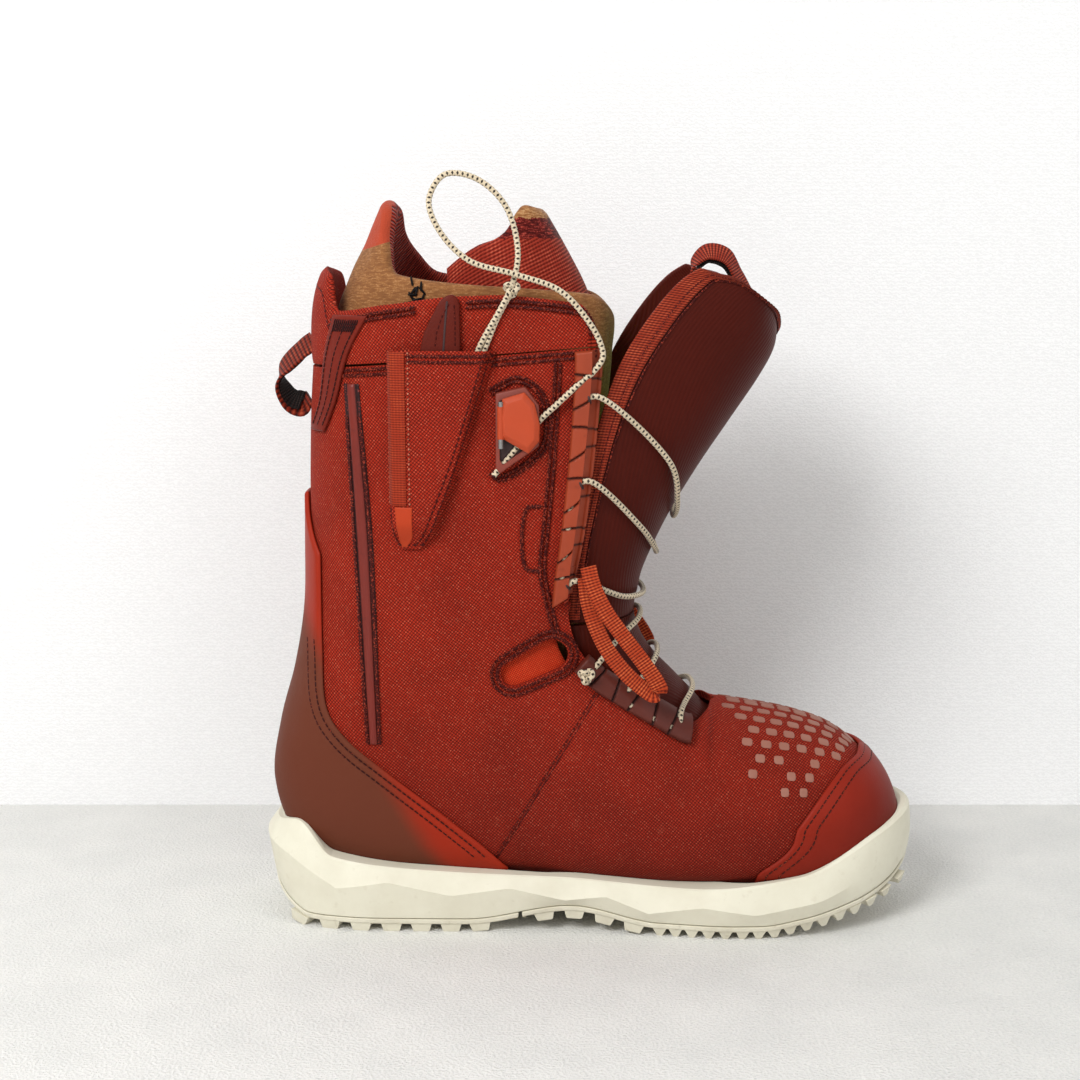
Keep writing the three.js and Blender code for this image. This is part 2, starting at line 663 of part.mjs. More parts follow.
// ---------------------------------------------------------------- tongue
const tongueWall = 2.4;
const tongueSplit = 0.08; // slit at its neck, in rows
const bindingThickness = 0.8;
const liningThickness = 0.8;

function tonguePart(fromU, toU, rows, reach, inner, outer) {
  return sheet({
    at: patch(tongue, (a, b) => [lerp(fromU, toU, a), roundFront(reach, b)]),
    rows,
    columns: 12,
    inner,
    outer,
  });
}

// A bound edge that runs up one wing, over the top and down the other wing.
function tongueBinding() {
  const [low, high, wing] = [tongueNeckU + tongueSplit + 0.1, tongueTopU, 0.5];
  const ring = (u0, u1, reach, a) => {
    if (a < 0.35) return [lerp(u0, u1, a / 0.35), -(1 - reach)];
    if (a > 0.65) return [lerp(u1, u0, (a - 0.65) / 0.35), 1 - reach];
    return [u1, roundFront(reach, (a - 0.35) / 0.3)];
  };
  const at = (a, b) => {
    const edge = ring(low, high, wing, a);
    const inside = ring(low, high - 0.55, wing - 0.09, a);
    return tongue.at(lerp(edge[0], inside[0], b), lerp(edge[1], inside[1], b));
  };
  return sheet({ at, rows: 30, columns: 2, inner: layerGap, outer: layerGap + bindingThickness });
}

const loopPath = [[177, 300], [170, 309], [165, 319], [157, 321], [151, 316], [150, 308]];

add("tongue_lower", tonguePart(0, tongueNeckU, 8, 0.5, -tongueWall, 0), materials.tongueSkin);
add("tongue_upper", tonguePart(tongueNeckU + tongueSplit, tongueTopU, 12, 0.5, -tongueWall, 0), materials.tongueSkin);
add("tongue_binding", tongueBinding(), materials.webbing);
const liningOuter = -tongueWall - layerGap;
add("tongue_lining", tonguePart(9.5, 13.6, 5, 0.44, liningOuter - liningThickness, liningOuter), materials.lime);
add("tongue_loop", ribbon(loopPath, webbing, -34, -24, 12), materials.webbing);

// ---------------------------------------------------------------- inner boot
const linerTop = profile([
  [0, 22], [0.1, 21.7], [0.2, 20.9], [0.28, 20.2], [0.5, 20], [0.8, 19.9], [1, 19.2],
]);
const linerTongueTop = profile([[0, 22], [0.5, 21.6], [0.8, 20.6], [1, 20]]);

const linerRows = [
  0, 0.5, 1, 1.6, 2.4, 3.4, 4.6, 6, 7.5, 9, 10.2, 11, 11.5, 12, 12.6, 13.3, 14.2, 15.6, 17.6, 19.6, 22,
];

function linerBoot() {
  return sheet({
    at: patch(liner, (a, b) => {
      const v = lerp(-1, 1, b);
      const u = graded(linerRows)(a);
      return [u < 12 ? u : lerp(12, linerTop(Math.abs(v)), (u - 12) / 10), v];
    }),
    rows: linerRows.length - 1,
    columns: 20,
    inner: -linerWall,
    outer: 0,
    closedRows: linerRows.length - 1,
  });
}

function linerTongue() {
  const face = linerWall + 3 * layerGap;
  return sheet({
    at: patch(liner, (a, b) => [lerp(10.4, linerTongueTop(Math.abs(2 * b - 1)), a), roundFront(0.3, b)]),
    rows: 10,
    columns: 12,
    inner: -face - 6,
    outer: -face,
  });
}

function footbed() {
  const face = linerWall + layerGap;
  const rows = linerRows.slice(4, 13);
  return sheet({
    at: patch(liner, (a, b) => [graded(rows)(a), lerp(-0.2, 0.2, b)]),
    rows: rows.length - 1,
    columns: 4,
    inner: -face - 3,
    outer: -face,
  });
}

add("liner_boot", linerBoot(), materials.linerFelt);
add("liner_tongue", linerTongue(), materials.linerFelt);
add("footbed", footbed(), materials.board);

// ---------------------------------------------------------------- rails and laces
const railTop = layerGap + railThickness;
const railMiddle = layerGap + railThickness / 2;
const laceSteps = 60;
const laceClearance = 0.8; // in the rails and locks
const runDepth = 5.4; // of the stretches that run inside a rail
const turnDepth = 4; // of the bends where they leave it
const laceLift = laceDiameter / 2 + clearance;

const xyz = (v) => [v.x, v.y, v.z];
// A point inside a rail, at a depth behind its front edge.
function onRail(u, depth, side) {
  const { p, n } = upper.at(u, side * upper.behindEdge(u, depth));
  return xyz(p.addScaledVector(n, railMiddle));
}
function outOfRail(u, distance, side) {
  const [x, y, z] = onRail(u, 1, side);
  const c = upper.section(u);
  const length = Math.hypot(c.bx - c.fx, c.bz - c.fz);
  return [x - ((c.bx - c.fx) * distance) / length, y, z - ((c.bz - c.fz) * distance) / length];
}
// From one rail over the front of the tongue to the other; frontU is the row it lies on in the middle.
function crossing(railU, frontU, sideU, from) {
  const half = (side) => {
    const onTongue = (u, v) => {
      const { p, n } = tongue.at(u, side * v);
      return xyz(p.addScaledVector(n, laceLift + 1.4));
    };
    return [
      onRail(railU, turnDepth, side),
      outOfRail(railU, 3, side),
      onTongue(lerp(frontU, sideU, 0.55), 0.72),
      onTongue(lerp(frontU, sideU, 0.2), 0.86),
    ];
  };
  const { p, n } = tongue.at(frontU, 1);
  return [...half(from), xyz(p.addScaledVector(n, laceLift + 1.4)), ...half(-from).reverse()];
}

const upperEyelets = [20.1, 18.4, 15.6];
const lowerEyelets = [12.15, 10.9, 9.4];
const upperLace = [
  ...crossing(upperEyelets[0], 9, 10.6, lateral),
  onRail(19.3, runDepth, medial),
  ...crossing(upperEyelets[1], 8.3, 9, medial),
  onRail(17, runDepth, lateral),
  ...crossing(upperEyelets[2], 6.9, 7, lateral),
];
const lowerLace = [
  ...crossing(lowerEyelets[0], 5.9, 5.3, lateral),
  onRail(11.6, runDepth, medial),
  ...crossing(lowerEyelets[1], 4.1, 4, medial),
  onRail(10.2, runDepth, lateral),
  ...crossing(lowerEyelets[2], 2.2, 2.5, lateral),
];
// From the pocket over the collar, down through the rail and the lock, and back to the pocket.
const pullLace = (side) => {
  const loop = side === lateral
    ? [[67.8, 54.8, 306.8], [70.5, 53, 322.4], [64.8, 52, 342.3], [51.4, 51.5, 354.1], [38, 52, 355.4],
       [31.2, 53, 344.5], [35.6, 55, 331.3], [48.9, 57.5, 318], [69.2, 58.5, 312], [89.4, 58.5, 304.6],
       [102, 58, 291.1]]
    : [[62, 55.3, 292], [76, 56, 297], [91, 57, 294.5], [101, 57.5, 288]];
  const rest = [[107.5, 57, 281], [108.4, 57, 275], [104.5, 57, 269], [97, 57, 262.5], [88.5, 56.4, 254.5],
                [80.4, 55.5, 246.9], [72.5, 55.5, 237.5], [64.6, 55.5, 227.8], [59.4, 55.2, 221.6]];
  const start = [[48, 55, 262], [50, 55, 270.5], [53.5, 55, 280]];
  return [...start, ...loop, ...rest].map(([x, y, z]) => [x, side * y, z]);
};
const pullSteps = (side) => (side === lateral ? 64 : 40);
const channel = (path, steps) => toManifold(tube(path, laceDiameter / 2 + laceClearance, steps));
const upperChannel = channel(upperLace, laceSteps);
const lowerChannel = channel(lowerLace, laceSteps);

function rail(fromU, toU, rows, width, side) {
  return sheet({
    at: patch(upper, (a, b) => {
      const u = lerp(fromU, toU, a);
      return [u, side * lerp(1, upper.behindEdge(u, width), b)];
    }),
    rows,
    columns: 3,
    inner: layerGap,
    outer: railTop,
  });
}
const upperRail = (side) =>
  fromManifold(
    toManifold(rail(15.1, 21.2, 16, upperRailWidth, side))
      .subtract(upperChannel)
      .subtract(channel(pullLace(side), pullSteps(side))),
  );
const lowerRail = (side) =>
  fromManifold(toManifold(rail(8.9, 12.6, 12, lowerRailWidth, side)).subtract(lowerChannel));

addPair("upper_rail", upperRail, materials.guide);
addPair("lower_rail", lowerRail, materials.guide);
add("upper_lace", tube(upperLace, laceDiameter / 2, laceSteps), materials.lace);
add("lower_lace", tube(lowerLace, laceDiameter / 2, laceSteps), materials.lace);
addPair("pull_lace", (side) => tube(pullLace(side), laceDiameter / 2, pullSteps(side)), materials.lace);

// ---------------------------------------------------------------- pocket, handle and lock
const handleThickness = 2.8;
const shellSide = 52.5; // the upper's outer face at the pocket
const handleInner = shellSide + handleTravelGap;
const handleOuter = handleInner + handleThickness;
const pocketLift = handleOuter - shellSide + 2 * handleTravelGap;

const facing = (side, near, far) => (side === lateral ? [-far, -near] : [near, far]);

function pocket(side) {
  // The pocket lies flat along its sides and its foot, and stands out over the handle between them.
  const rise = (t, over) => smooth(clamp(t / over, 0, 1));
  const lift = (a, b) => rise(Math.min(b, 1 - b), 0.1) * rise(a, 0.15) * pocketLift;
  return sidePanel(side, {
    low: 187,
    high: 278,
    back: [[186, 16], [207, 12.5], [279, 12]],
    front: [[186, 25], [189, 30.9], [225.4, 44], [279, 61]],
    rows: 9,
    columns: 10,
    inner: (a, b) => clearance + lift(a, b),
    outer: (a, b) => clearance + overlay + lift(a, b),
  });
}

const handleOutline = [
  [31, 236], [40.5, 236], [44.6, 262], [44.6, 300], [41, 303], [36, 300.5], [29, 287.5], [26.8, 279],
];
const handle = (side) => crossPrism(handleOutline, ...facing(side, handleInner, handleOuter));

const bezelOutline = [[60.4, 225.6], [62.2, 222.8], [80, 235.2], [80, 253.6], [73.8, 262], [60.4, 259]];
const bezelInner = 52.8;
const bezelOuter = 58.2;
const coverOuter = 61.4;
const hinge = { x: 62.8, y: 60.2, radius: 2.2, low: 234.5, high: 255.5, ear: 3.2 };

function upright(x, y, z0, z1, radius, segments = 16) {
  const rod = new THREE.CylinderGeometry(radius, radius, z1 - z0, segments);
  rod.rotateX(Math.PI / 2);
  return rod.translate(x, y, (z0 + z1) / 2);
}

function lockHousing(side) {
  const y = side * hinge.y;
  const low = hinge.low + hinge.ear;
  const high = hinge.high - hinge.ear;
  const solid = toManifold(crossPrism(bezelOutline, ...facing(side, bezelInner, bezelOuter)))
    .add(toManifold(upright(hinge.x, y, hinge.low, low, hinge.radius)))
    .add(toManifold(upright(hinge.x, y, high, hinge.high, hinge.radius)))
    .subtract(toManifold(upright(hinge.x, y, low, high, hinge.radius + 2 * clearance)))
    .subtract(toManifold(upright(hinge.x, y, hinge.low - 1, hinge.high + 1, pinRadius + pinClearance)))
    .subtract(channel(pullLace(side), pullSteps(side)));
  return fromManifold(solid);
}

function lockCover(side) {
  const y = side * hinge.y;
  const low = hinge.low + hinge.ear + clearance;
  const high = hinge.high - hinge.ear - clearance;
  const plate = [
    [66.2, 256.6], [66.2, high], [63.4, high], [63.4, low], [66.2, low], [66.2, 233.6],
    [70.4, 231.2], [77.2, 234.6], [80, 239.2], [78.4, 250.6], [74, 259],
  ];
  const solid = toManifold(crossPrism(plate, ...facing(side, bezelOuter + clearance, coverOuter)))
    .add(toManifold(upright(hinge.x, y, low, high, hinge.radius)))
    .subtract(toManifold(upright(hinge.x, y, low - 1, high + 1, pinRadius + pinClearance)));
  return fromManifold(solid);
}

addPair("pocket", pocket, materials.fabric);
addPair("lace_handle", handle, materials.handle);
addPair("lock_housing", lockHousing, materials.guide);
addPair("lock_cover", lockCover, materials.accent);
const lockPin = (side) => upright(hinge.x, side * hinge.y, hinge.low, hinge.high, pinRadius, 12);
addPair("lock_pin", lockPin, materials.steel);

// ---------------------------------------------------------------- straps and loops
const seamRib = (side) =>
  sidePanel(side, {
    low: 93,
    high: 262,
    back: [[90, -1], [181, -5.4], [262, -9.1]],
    front: [[90, 6], [181, 4], [262, -1.9]],
    rows: 12,
    columns: 2,
    inner: clearance,
    outer: clearance + 1.2,
  });

const loopStrap = (side) =>
  sidePanel(side, {
    low: 239,
    high: 293,
    back: [[239.2, -25.4], [253.6, -20.5], [274.3, -17.8], [294, -12.8]],
    front: [[239.2, -18.4], [253.6, -12.6], [274.3, -6.7], [294, 3.7]],
    rows: 8,
    columns: 3,
    inner: clearance,
    outer: clearance + 2,
  });

// Pinned to the lower end of the upper rail, it lies over the gap at the ankle.
const tabOutline = [[96.8, 175], [97.8, 182.4], [108.4, 178], [137, 121], [129.4, 117.2], [102, 170]];
const ankleSide = 45.2; // the upper's outer face beside the tab
const tabInner = ankleSide + railTop + clearance;
const instepTab = (side) => crossPrism(tabOutline, ...facing(side, tabInner, tabInner + tabThickness));

const rearLoopPath = [[-28, 279], [-33, 275], [-42.6, 265], [-43.4, 259], [-38.6, 250.6], [-33, 248.6], [-29.6, 252]];

addPair("seam_rib", seamRib, materials.coated);
addPair("loop_strap", loopStrap, materials.handle);
addPair("instep_tab", instepTab, materials.accent);
add("rear_loop", ribbon(rearLoopPath, webbing, -9.5, 9.5, 16), materials.webbing);

export default boot;
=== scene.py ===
import math

import bmesh
import bpy
import numpy as np
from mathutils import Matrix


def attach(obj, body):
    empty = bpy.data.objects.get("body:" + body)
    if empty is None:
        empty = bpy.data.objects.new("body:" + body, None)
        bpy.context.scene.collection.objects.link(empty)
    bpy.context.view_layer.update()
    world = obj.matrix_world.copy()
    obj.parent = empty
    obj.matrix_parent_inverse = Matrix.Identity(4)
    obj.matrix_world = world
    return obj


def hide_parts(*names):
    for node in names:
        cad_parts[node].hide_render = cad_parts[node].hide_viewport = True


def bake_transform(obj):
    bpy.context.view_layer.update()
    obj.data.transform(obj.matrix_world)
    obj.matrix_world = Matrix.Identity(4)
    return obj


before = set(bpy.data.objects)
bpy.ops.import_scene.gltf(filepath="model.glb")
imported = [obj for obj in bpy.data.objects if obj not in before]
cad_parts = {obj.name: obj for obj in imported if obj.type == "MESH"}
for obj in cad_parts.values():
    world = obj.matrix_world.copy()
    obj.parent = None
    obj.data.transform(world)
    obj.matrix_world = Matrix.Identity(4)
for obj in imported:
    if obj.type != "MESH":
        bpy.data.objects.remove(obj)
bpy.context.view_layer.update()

# ======================================================================================== the room
# A pale carpeted floor, a white wall close behind the boot, and soft light from the upper left.
# The camera stands a little above the collar and looks down at the boot's outer side.


def rgb(code):
    """A colour as a designer writes it, in the linear values that Blender takes."""
    parts = [int(code[i:i + 2], 16) / 255 for i in (0, 2, 4)]
    linear = [c / 12.92 if c <= 0.04045 else ((c + 0.055) / 1.055) ** 2.4 for c in parts]
    return (*linear, 1.0)


def node(tree, kind, wires=(), **settings):
    """A new node: its settings, and its inputs' values or the sockets that feed them."""
    made = tree.nodes.new(kind)
    for key, value in settings.items():
        setattr(made, key, value)
    for key, value in dict(wires).items():
        if isinstance(value, bpy.types.NodeSocket):
            tree.links.new(value, made.inputs[key])
        else:
            made.inputs[key].default_value = value
    return made


def math_node(tree, operation, a, b=0.0, c=0.0, clamp=False):
    return node(tree, "ShaderNodeMath", {0: a, 1: b, 2: c}, operation=operation, use_clamp=clamp).outputs[0]


def times(tree, a, b, clamp=False):
    return math_node(tree, "MULTIPLY", a, b, clamp=clamp)


def times_plus(tree, a, b, c):
    return math_node(tree, "MULTIPLY_ADD", a, b, c)


def noise(tree, where, scale, detail, roughness=0.5):
    wires = {"Vector": where, "Scale": scale, "Detail": detail, "Roughness": roughness}
    return node(tree, "ShaderNodeTexNoise", wires).outputs[0]


def drawn_out(tree, where, scale):
    return node(tree, "ShaderNodeMapping", {0: where, 3: scale}).outputs[0]


def ramp(tree, value, low, high, top=1.0):
    """0 up to low and top from high on."""
    return node(tree, "ShaderNodeMapRange", {0: value, 1: low, 2: high, 4: top}).outputs[0]


def separate(tree, vector):
    return node(tree, "ShaderNodeSeparateXYZ", {0: vector}).outputs


def map_of(tree, name):
    return node(tree, "ShaderNodeUVMap", uv_map=name).outputs[0]


def object_place(tree):
    return node(tree, "ShaderNodeTexCoord").outputs["Object"]


def blend_colours(tree, factor, a, b):
    return node(tree, "ShaderNodeMix", {0: factor, 6: a, 7: b}, data_type="RGBA").outputs[2]


def new_material(name, roughness=0.5, sheen=0.0, specular=0.5, coat=0.0):
    material = bpy.data.materials.new(name)
    material.use_nodes = True
    tree = material.node_tree
    shader = tree.nodes["Principled BSDF"]
    shader.inputs["Roughness"].default_value = roughness
    shader.inputs["Sheen Weight"].default_value = sheen
    shader.inputs["Sheen Roughness"].default_value = 0.4
    shader.inputs["Specular IOR Level"].default_value = specular
    shader.inputs["Coat Weight"].default_value = coat
    return material, tree, shader


def relief(tree, shader, height, distance, strength):
    """Feeds a height, in units of distance metres, to the shader's normal."""
    bump = node(tree, "ShaderNodeBump", {"Height": height, "Distance": distance, "Strength": strength})
    tree.links.new(bump.outputs[0], shader.inputs["Normal"])


def in_scene(name, data):
    made = bpy.data.objects.new(name, data)
    bpy.context.scene.collection.objects.link(made)
    return made


camera = in_scene("camera", bpy.data.cameras.new("camera"))
camera.data.sensor_width = 36
camera.data.lens = 62.77
camera.data.clip_start = 0.01
camera.location = (0.0804, -0.900, 0.335)
camera.rotation_euler = (math.radians(90 - 9.6), 0, 0)
bpy.context.scene.camera = camera


def flat_card(name, corners, material):
    mesh = bpy.data.meshes.new(name)
    mesh.from_pydata(corners, [], [range(len(corners))])
    mesh.materials.append(material)
    in_scene(name, mesh)


floor_finish, tree, shader = new_material("pale carpet", roughness=0.95, specular=0.1)
place = object_place(tree)
pile = noise(tree, place, 700, 5)
lie = noise(tree, place, 26, 3)
both = times_plus(tree, lie, 0.35, times(tree, pile, 0.65))
tint = ramp(tree, both, 0.35, 0.65)
tree.links.new(blend_colours(tree, tint, rgb("D9D9D6"), rgb("E9E8E4")), shader.inputs["Base Color"])
relief(tree, shader, pile, 0.0022, 0.6)
FLOOR_HALF = 3.0
WALL_Y, WALL_HIGH = 0.156, 2.4
flat_card("floor", [(x * FLOOR_HALF, y * FLOOR_HALF, 0) for x, y in ((-1, -1), (1, -1), (1, 1), (-1, 1))],
          floor_finish)

# The wall faces the camera only, so that the boot can also be looked at from behind.
wall_finish, tree, shader = new_material("embossed white wall", roughness=0.85, specular=0.2)
place = object_place(tree)
rib = node(tree, "ShaderNodeTexWave", {"Vector": place, "Scale": 150, "Distortion": 9, "Detail": 4,
                                       "Detail Scale": 3},
           bands_direction="Z").outputs[1]
tree.links.new(blend_colours(tree, rib, rgb("EAEAEA"), rgb("F2F2F2")), shader.inputs["Base Color"])
relief(tree, shader, rib, 0.0006, 0.25)
see_through = node(tree, "ShaderNodeBsdfTransparent").outputs[0]
behind = node(tree, "ShaderNodeNewGeometry").outputs["Backfacing"]
facing = node(tree, "ShaderNodeMixShader", {0: behind, 1: shader.outputs[0], 2: see_through}).outputs[0]
tree.links.new(facing, tree.nodes["Material Output"].inputs[0])
flat_card("wall", [(x * FLOOR_HALF, WALL_Y, z) for x, z in ((-1, 0), (1, 0), (1, WALL_HIGH),
        (-1, WALL_HIGH))], wall_finish)


def soft_box(name, location, target, size, watts):
    lamp = bpy.data.lights.new(name, "AREA")
    lamp.shape = "RECTANGLE"
    lamp.size, lamp.size_y = size
    lamp.energy = watts
    box = in_scene(name, lamp)
    box.location = location
    away = np.array(target) - np.array(location)
    tilt = math.atan2(math.hypot(away[0], away[1]), -away[2])
    box.rotation_euler = (tilt, 0, math.atan2(away[0], -away[1]) + math.pi)


soft_box("key", (-0.55, -1.05, 1.05), (0.10, 0, 0.16), (0.6, 0.6), 18)
soft_box("fill", (1.15, -1.2, 0.7), (0.10, 0, 0.15), (1.2, 1.0), 5)
soft_box("back_rim", (-0.5, 0.9, 1.2), (0.08, 0, 0.2), (0.8, 0.6), 8)
world = bpy.data.worlds.new("white room")
bpy.context.scene.world = world
world.use_nodes = True
world.node_tree.nodes["Background"].inputs[0].default_value = (1.0, 1.0, 1.0, 1)
world.node_tree.nodes["Background"].inputs[1].default_value = 0.50
bpy.context.scene.view_settings.view_transform = "Standard"

# ======================================================================================= the laces
# Polyester cord, 2.6 mm thick, braided in cream and black. Two laces zigzag between the rails, and a
# long one on each side runs from the pocket over the collar, down the rail and through the lock.
# They lie on the shell and the tongue, so the shapes of those come first, in millimetres.


def table_row(rows, u):
    """Catmull-Rom through the rows of a table."""
    i = np.clip(np.floor(u).astype(int), 0, len(rows) - 2)
    t = (u - i)[..., None]
    p, q, r, s = (rows[np.clip(i + k, 0, len(rows) - 1)] for k in (-1, 0, 1, 2))
    return 0.5 * (2 * q + (r - p) * t + (2 * p - 5 * q + 4 * r - s) * t ** 2 + (3 * q - p - 3 * r + s)
                  * t ** 3)


def unit(vectors):
    return vectors / np.maximum(np.linalg.norm(vectors, axis=-1, keepdims=True), 1e-12)


def walked_along(line):
    """How far along a line each of its points is."""
    return np.concatenate([[0], np.cumsum(np.linalg.norm(np.diff(line, axis=0), axis=1))])


def steady(points):
    """A smooth function through (x, value) points that never overshoots them."""
    x, y = np.array(points, float).T
    slope = np.diff(y) / np.diff(x)
    tangent = np.concatenate([slope[:1], np.zeros(len(x) - 2), slope[-1:]])
    for i in range(1, len(x) - 1):
        if slope[i - 1] * slope[i] > 0:
            tangent[i] = 2 * slope[i - 1] * slope[i] / (slope[i - 1] + slope[i])

    def value(at):
        at = np.asarray(at, float)
        i = np.clip(np.searchsorted(x, at, side="right") - 1, 0, len(x) - 2)
        width = x[i + 1] - x[i]
        t = np.clip((at - x[i]) / width, 0, 1)
        return ((2 * t ** 3 - 3 * t ** 2 + 1) * y[i] + (t ** 3 - 2 * t ** 2 + t) * width * tangent[i]
                + (3 * t ** 2 - 2 * t ** 3) * y[i + 1] + (t ** 3 - t ** 2) * width * tangent[i + 1])
    return value


class Skin:
    """A curved face made of sections. A row is front x, z, back x, z, lateral and medial width, half the
    gap at the front edge, where it is widest, and how square its front and back are. u counts the rows,
    and v goes round a section: 0 at the back, -1 at the lateral front edge and 1 at the medial one."""

    def __init__(self, rows):
        self.rows = np.array(rows, float)
        self.last = len(rows) - 1

    def section(self, u):
        c = table_row(self.rows, np.asarray(u, float))
        c[..., 6] = np.maximum(0, c[..., 6])
        return np.moveaxis(c, -1, 0)

    def across(self, c, v):
        """How far back and how far out v is on a section."""
        a = np.minimum(1, np.abs(v))
        width = np.where(v < 0, c[4], c[5])
        back = np.minimum(a, 0.5) * np.pi
        front = np.maximum(a - 0.5, 0) * np.pi
        s_back = c[7] + (1 - c[7]) * np.maximum(0, np.cos(back)) ** (2 / c[9])
        s_front = c[7] * (1 - np.sin(front) ** (2 / c[8]))
        w_back = width * np.sin(back) ** (2 / c[9])
        w_front = c[6] + (width - c[6]) * np.maximum(0, np.cos(front)) ** (2 / c[8])
        return np.where(a <= 0.5, s_back, s_front), np.where(a <= 0.5, w_back, w_front)

    def point(self, u, v):
        u, v = np.broadcast_arrays(np.asarray(u, float), np.asarray(v, float))
        c = self.section(u)
        s, w = self.across(c, v)
        side = np.where(v < 0, -1, 1)
        return np.stack([c[0] + (c[2] - c[0]) * s, side * w, c[1] + (c[3] - c[1]) * s], -1)

    def normal(self, u, v):
        u, v = np.broadcast_arrays(np.asarray(u, float), np.asarray(v, float))
        edge = 1 - 1e-4
        along = self.point(np.minimum(self.last, u + 0.03), v) - self.point(np.maximum(0, u - 0.03), v)
        turn = self.point(u, np.minimum(edge, v + 0.012)) - self.point(u, np.maximum(-edge, v - 0.012))
        n = unit(np.cross(along, turn))
        c = self.section(np.minimum(self.last, u + 1))
        middle = np.stack([(c[0] + c[2]) / 2, 0 * u, (c[1] + c[3]) / 2], -1)
        away = np.sum(n * (self.point(u, v) - middle), -1)
        return n * np.where(away < 0, -1, 1)[..., None]

    def place(self, x, z, side):
        """The u and v of a place seen from the side."""
        x, z = np.broadcast_arrays(np.asarray(x, float), np.asarray(z, float))

        def off(u):
            c = self.section(u)
            return (x - c[0]) * (c[3] - c[1]) - (z - c[1]) * (c[2] - c[0])
        low = np.full(x.shape, 0.5)
        sign = np.sign(off(low))
        found = np.zeros(x.shape, bool)
        for u in np.arange(0.5, self.last, 0.25):
            turned = (np.sign(off(np.full(x.shape, u))) != sign) & ~found
            low = np.where(turned, u - 0.25, low)
            found |= turned
        low = np.where(found, low, self.last - 0.25)
        high = low + 0.25
        for _ in range(24):
            mid = (low + high) / 2
            same = np.sign(off(mid)) == sign
            low, high = np.where(same, mid, low), np.where(same, high, mid)
        c = self.section(low)
        ax, az = c[2] - c[0], c[3] - c[1]
        s = np.clip(((x - c[0]) * ax + (z - c[1]) * az) / (ax * ax + az * az), 0, 1)
        return low, side * self.across_for(c, s)

    def across_for(self, c, s):
        cosine = np.clip((s - c[7]) / (1 - c[7] + 1e-9), 0, 1) ** (c[9] / 2)
        sine = np.clip(1 - s / c[7], 0, 1) ** (c[8] / 2)
        return np.where(s >= c[7], np.arccos(cosine) / np.pi, 0.5 + np.arcsin(sine) / np.pi)

    def behind_edge(self, u, distance):
        """v at a distance back from the front edge."""
        c = self.section(u)
        return self.across_for(c, distance / np.hypot(c[2] - c[0], c[3] - c[1]))

    def unrolled(self, u, v):
        """Where a place lies on the cloth, in metres, as if the cloth were unrolled from the flat side."""
        u, v = np.broadcast_arrays(np.asarray(u, float), np.asarray(v, float))
        steps = 48
        walk = np.linspace(0, 1, steps)
        half = np.where(v < 0, -0.5, 0.5)
        route = half[..., None] + (v - half)[..., None] * walk
        points = self.point(np.broadcast_to(u[..., None], route.shape), route)
        length = np.linalg.norm(np.diff(points, axis=-2), axis=-1).sum(-1)
        c = self.section(u)
        chord = np.stack([c[2] - c[0], c[3] - c[1]], -1)
        chord = chord / np.linalg.norm(chord, axis=-1, keepdims=True)
        forward = np.where(np.abs(v) < 0.5, 1.0, -1.0)
        start = self.point(u, half)[..., [0, 2]]
        flat = start + chord * (forward * length)[..., None]
        flat[..., 0] *= np.where(v < 0, 1, -1)
        return flat * 0.001


upper = Skin([
    (255, 44, 255, 42, 0.6, 0.6, 0, 0.5, 2, 2), (252.5, 57, 253, 34, 15, 17, 0, 0.5, 2, 3),
    (247, 69, 248, 29, 24, 27, 0, 0.5, 2, 3.5), (237, 80.5, 239, 25, 33.5, 36, 0, 0.52, 2, 4),
    (223, 91, 224, 21.5, 42, 43, 0, 0.55, 2, 4), (205, 97.5, 205, 20.5, 48, 46.5, 0, 0.58, 2, 4),
    (186, 101.5, 184, 20, 51, 48, 0, 0.6, 2, 4), (166.5, 104.5, 160, 20, 51, 46.5, 0, 0.6, 2, 4),
    (160.5, 103, 150, 20, 50, 45.5, 19, 0.6, 2, 4), (151, 99.5, 136, 20, 48.5, 44, 29, 0.58, 2.1, 4),
    (135, 108.5, 108, 21, 45.5, 41, 33, 0.56, 2.1, 4),
    (120, 118, 74, 22.5, 42.5, 39.5, 36, 0.54, 2.2, 3.8),
    (107, 127.5, 36, 24, 41.5, 40, 38.5, 0.52, 2.3, 3.5), (98, 139, -4, 26.5, 42, 41.5, 41, 0.5, 2.4, 3.2),
    (94, 152, -36, 40, 43.5, 43.5, 43.5, 0.48, 2.5, 2.8),
    (93.5, 164, -47, 66, 45.5, 45.5, 46, 0.46, 2.5, 2.5),
    (95, 177, -43.5, 95, 47.5, 47.5, 48.5, 0.45, 2.5, 2.4),
    (97.5, 192, -36, 123, 49, 49, 50.5, 0.45, 2.5, 2.3),
    (100, 210, -31, 153, 50.5, 50.5, 52, 0.45, 2.5, 2.3),
    (102.5, 232, -30, 186, 51.5, 51.5, 53, 0.45, 2.5, 2.3),
    (104.5, 255, -29.5, 222, 52, 52, 53.5, 0.45, 2.5, 2.3),
    (105.5, 275, -28, 258, 52.5, 52.5, 54, 0.45, 2.5, 2.3),
    (104, 291, -24.5, 297, 52.5, 52.5, 53.5, 0.45, 2.5, 2.3),
    (102, 307, -20, 322, 52.5, 52.5, 53.5, 0.45, 2.5, 2.3),
])
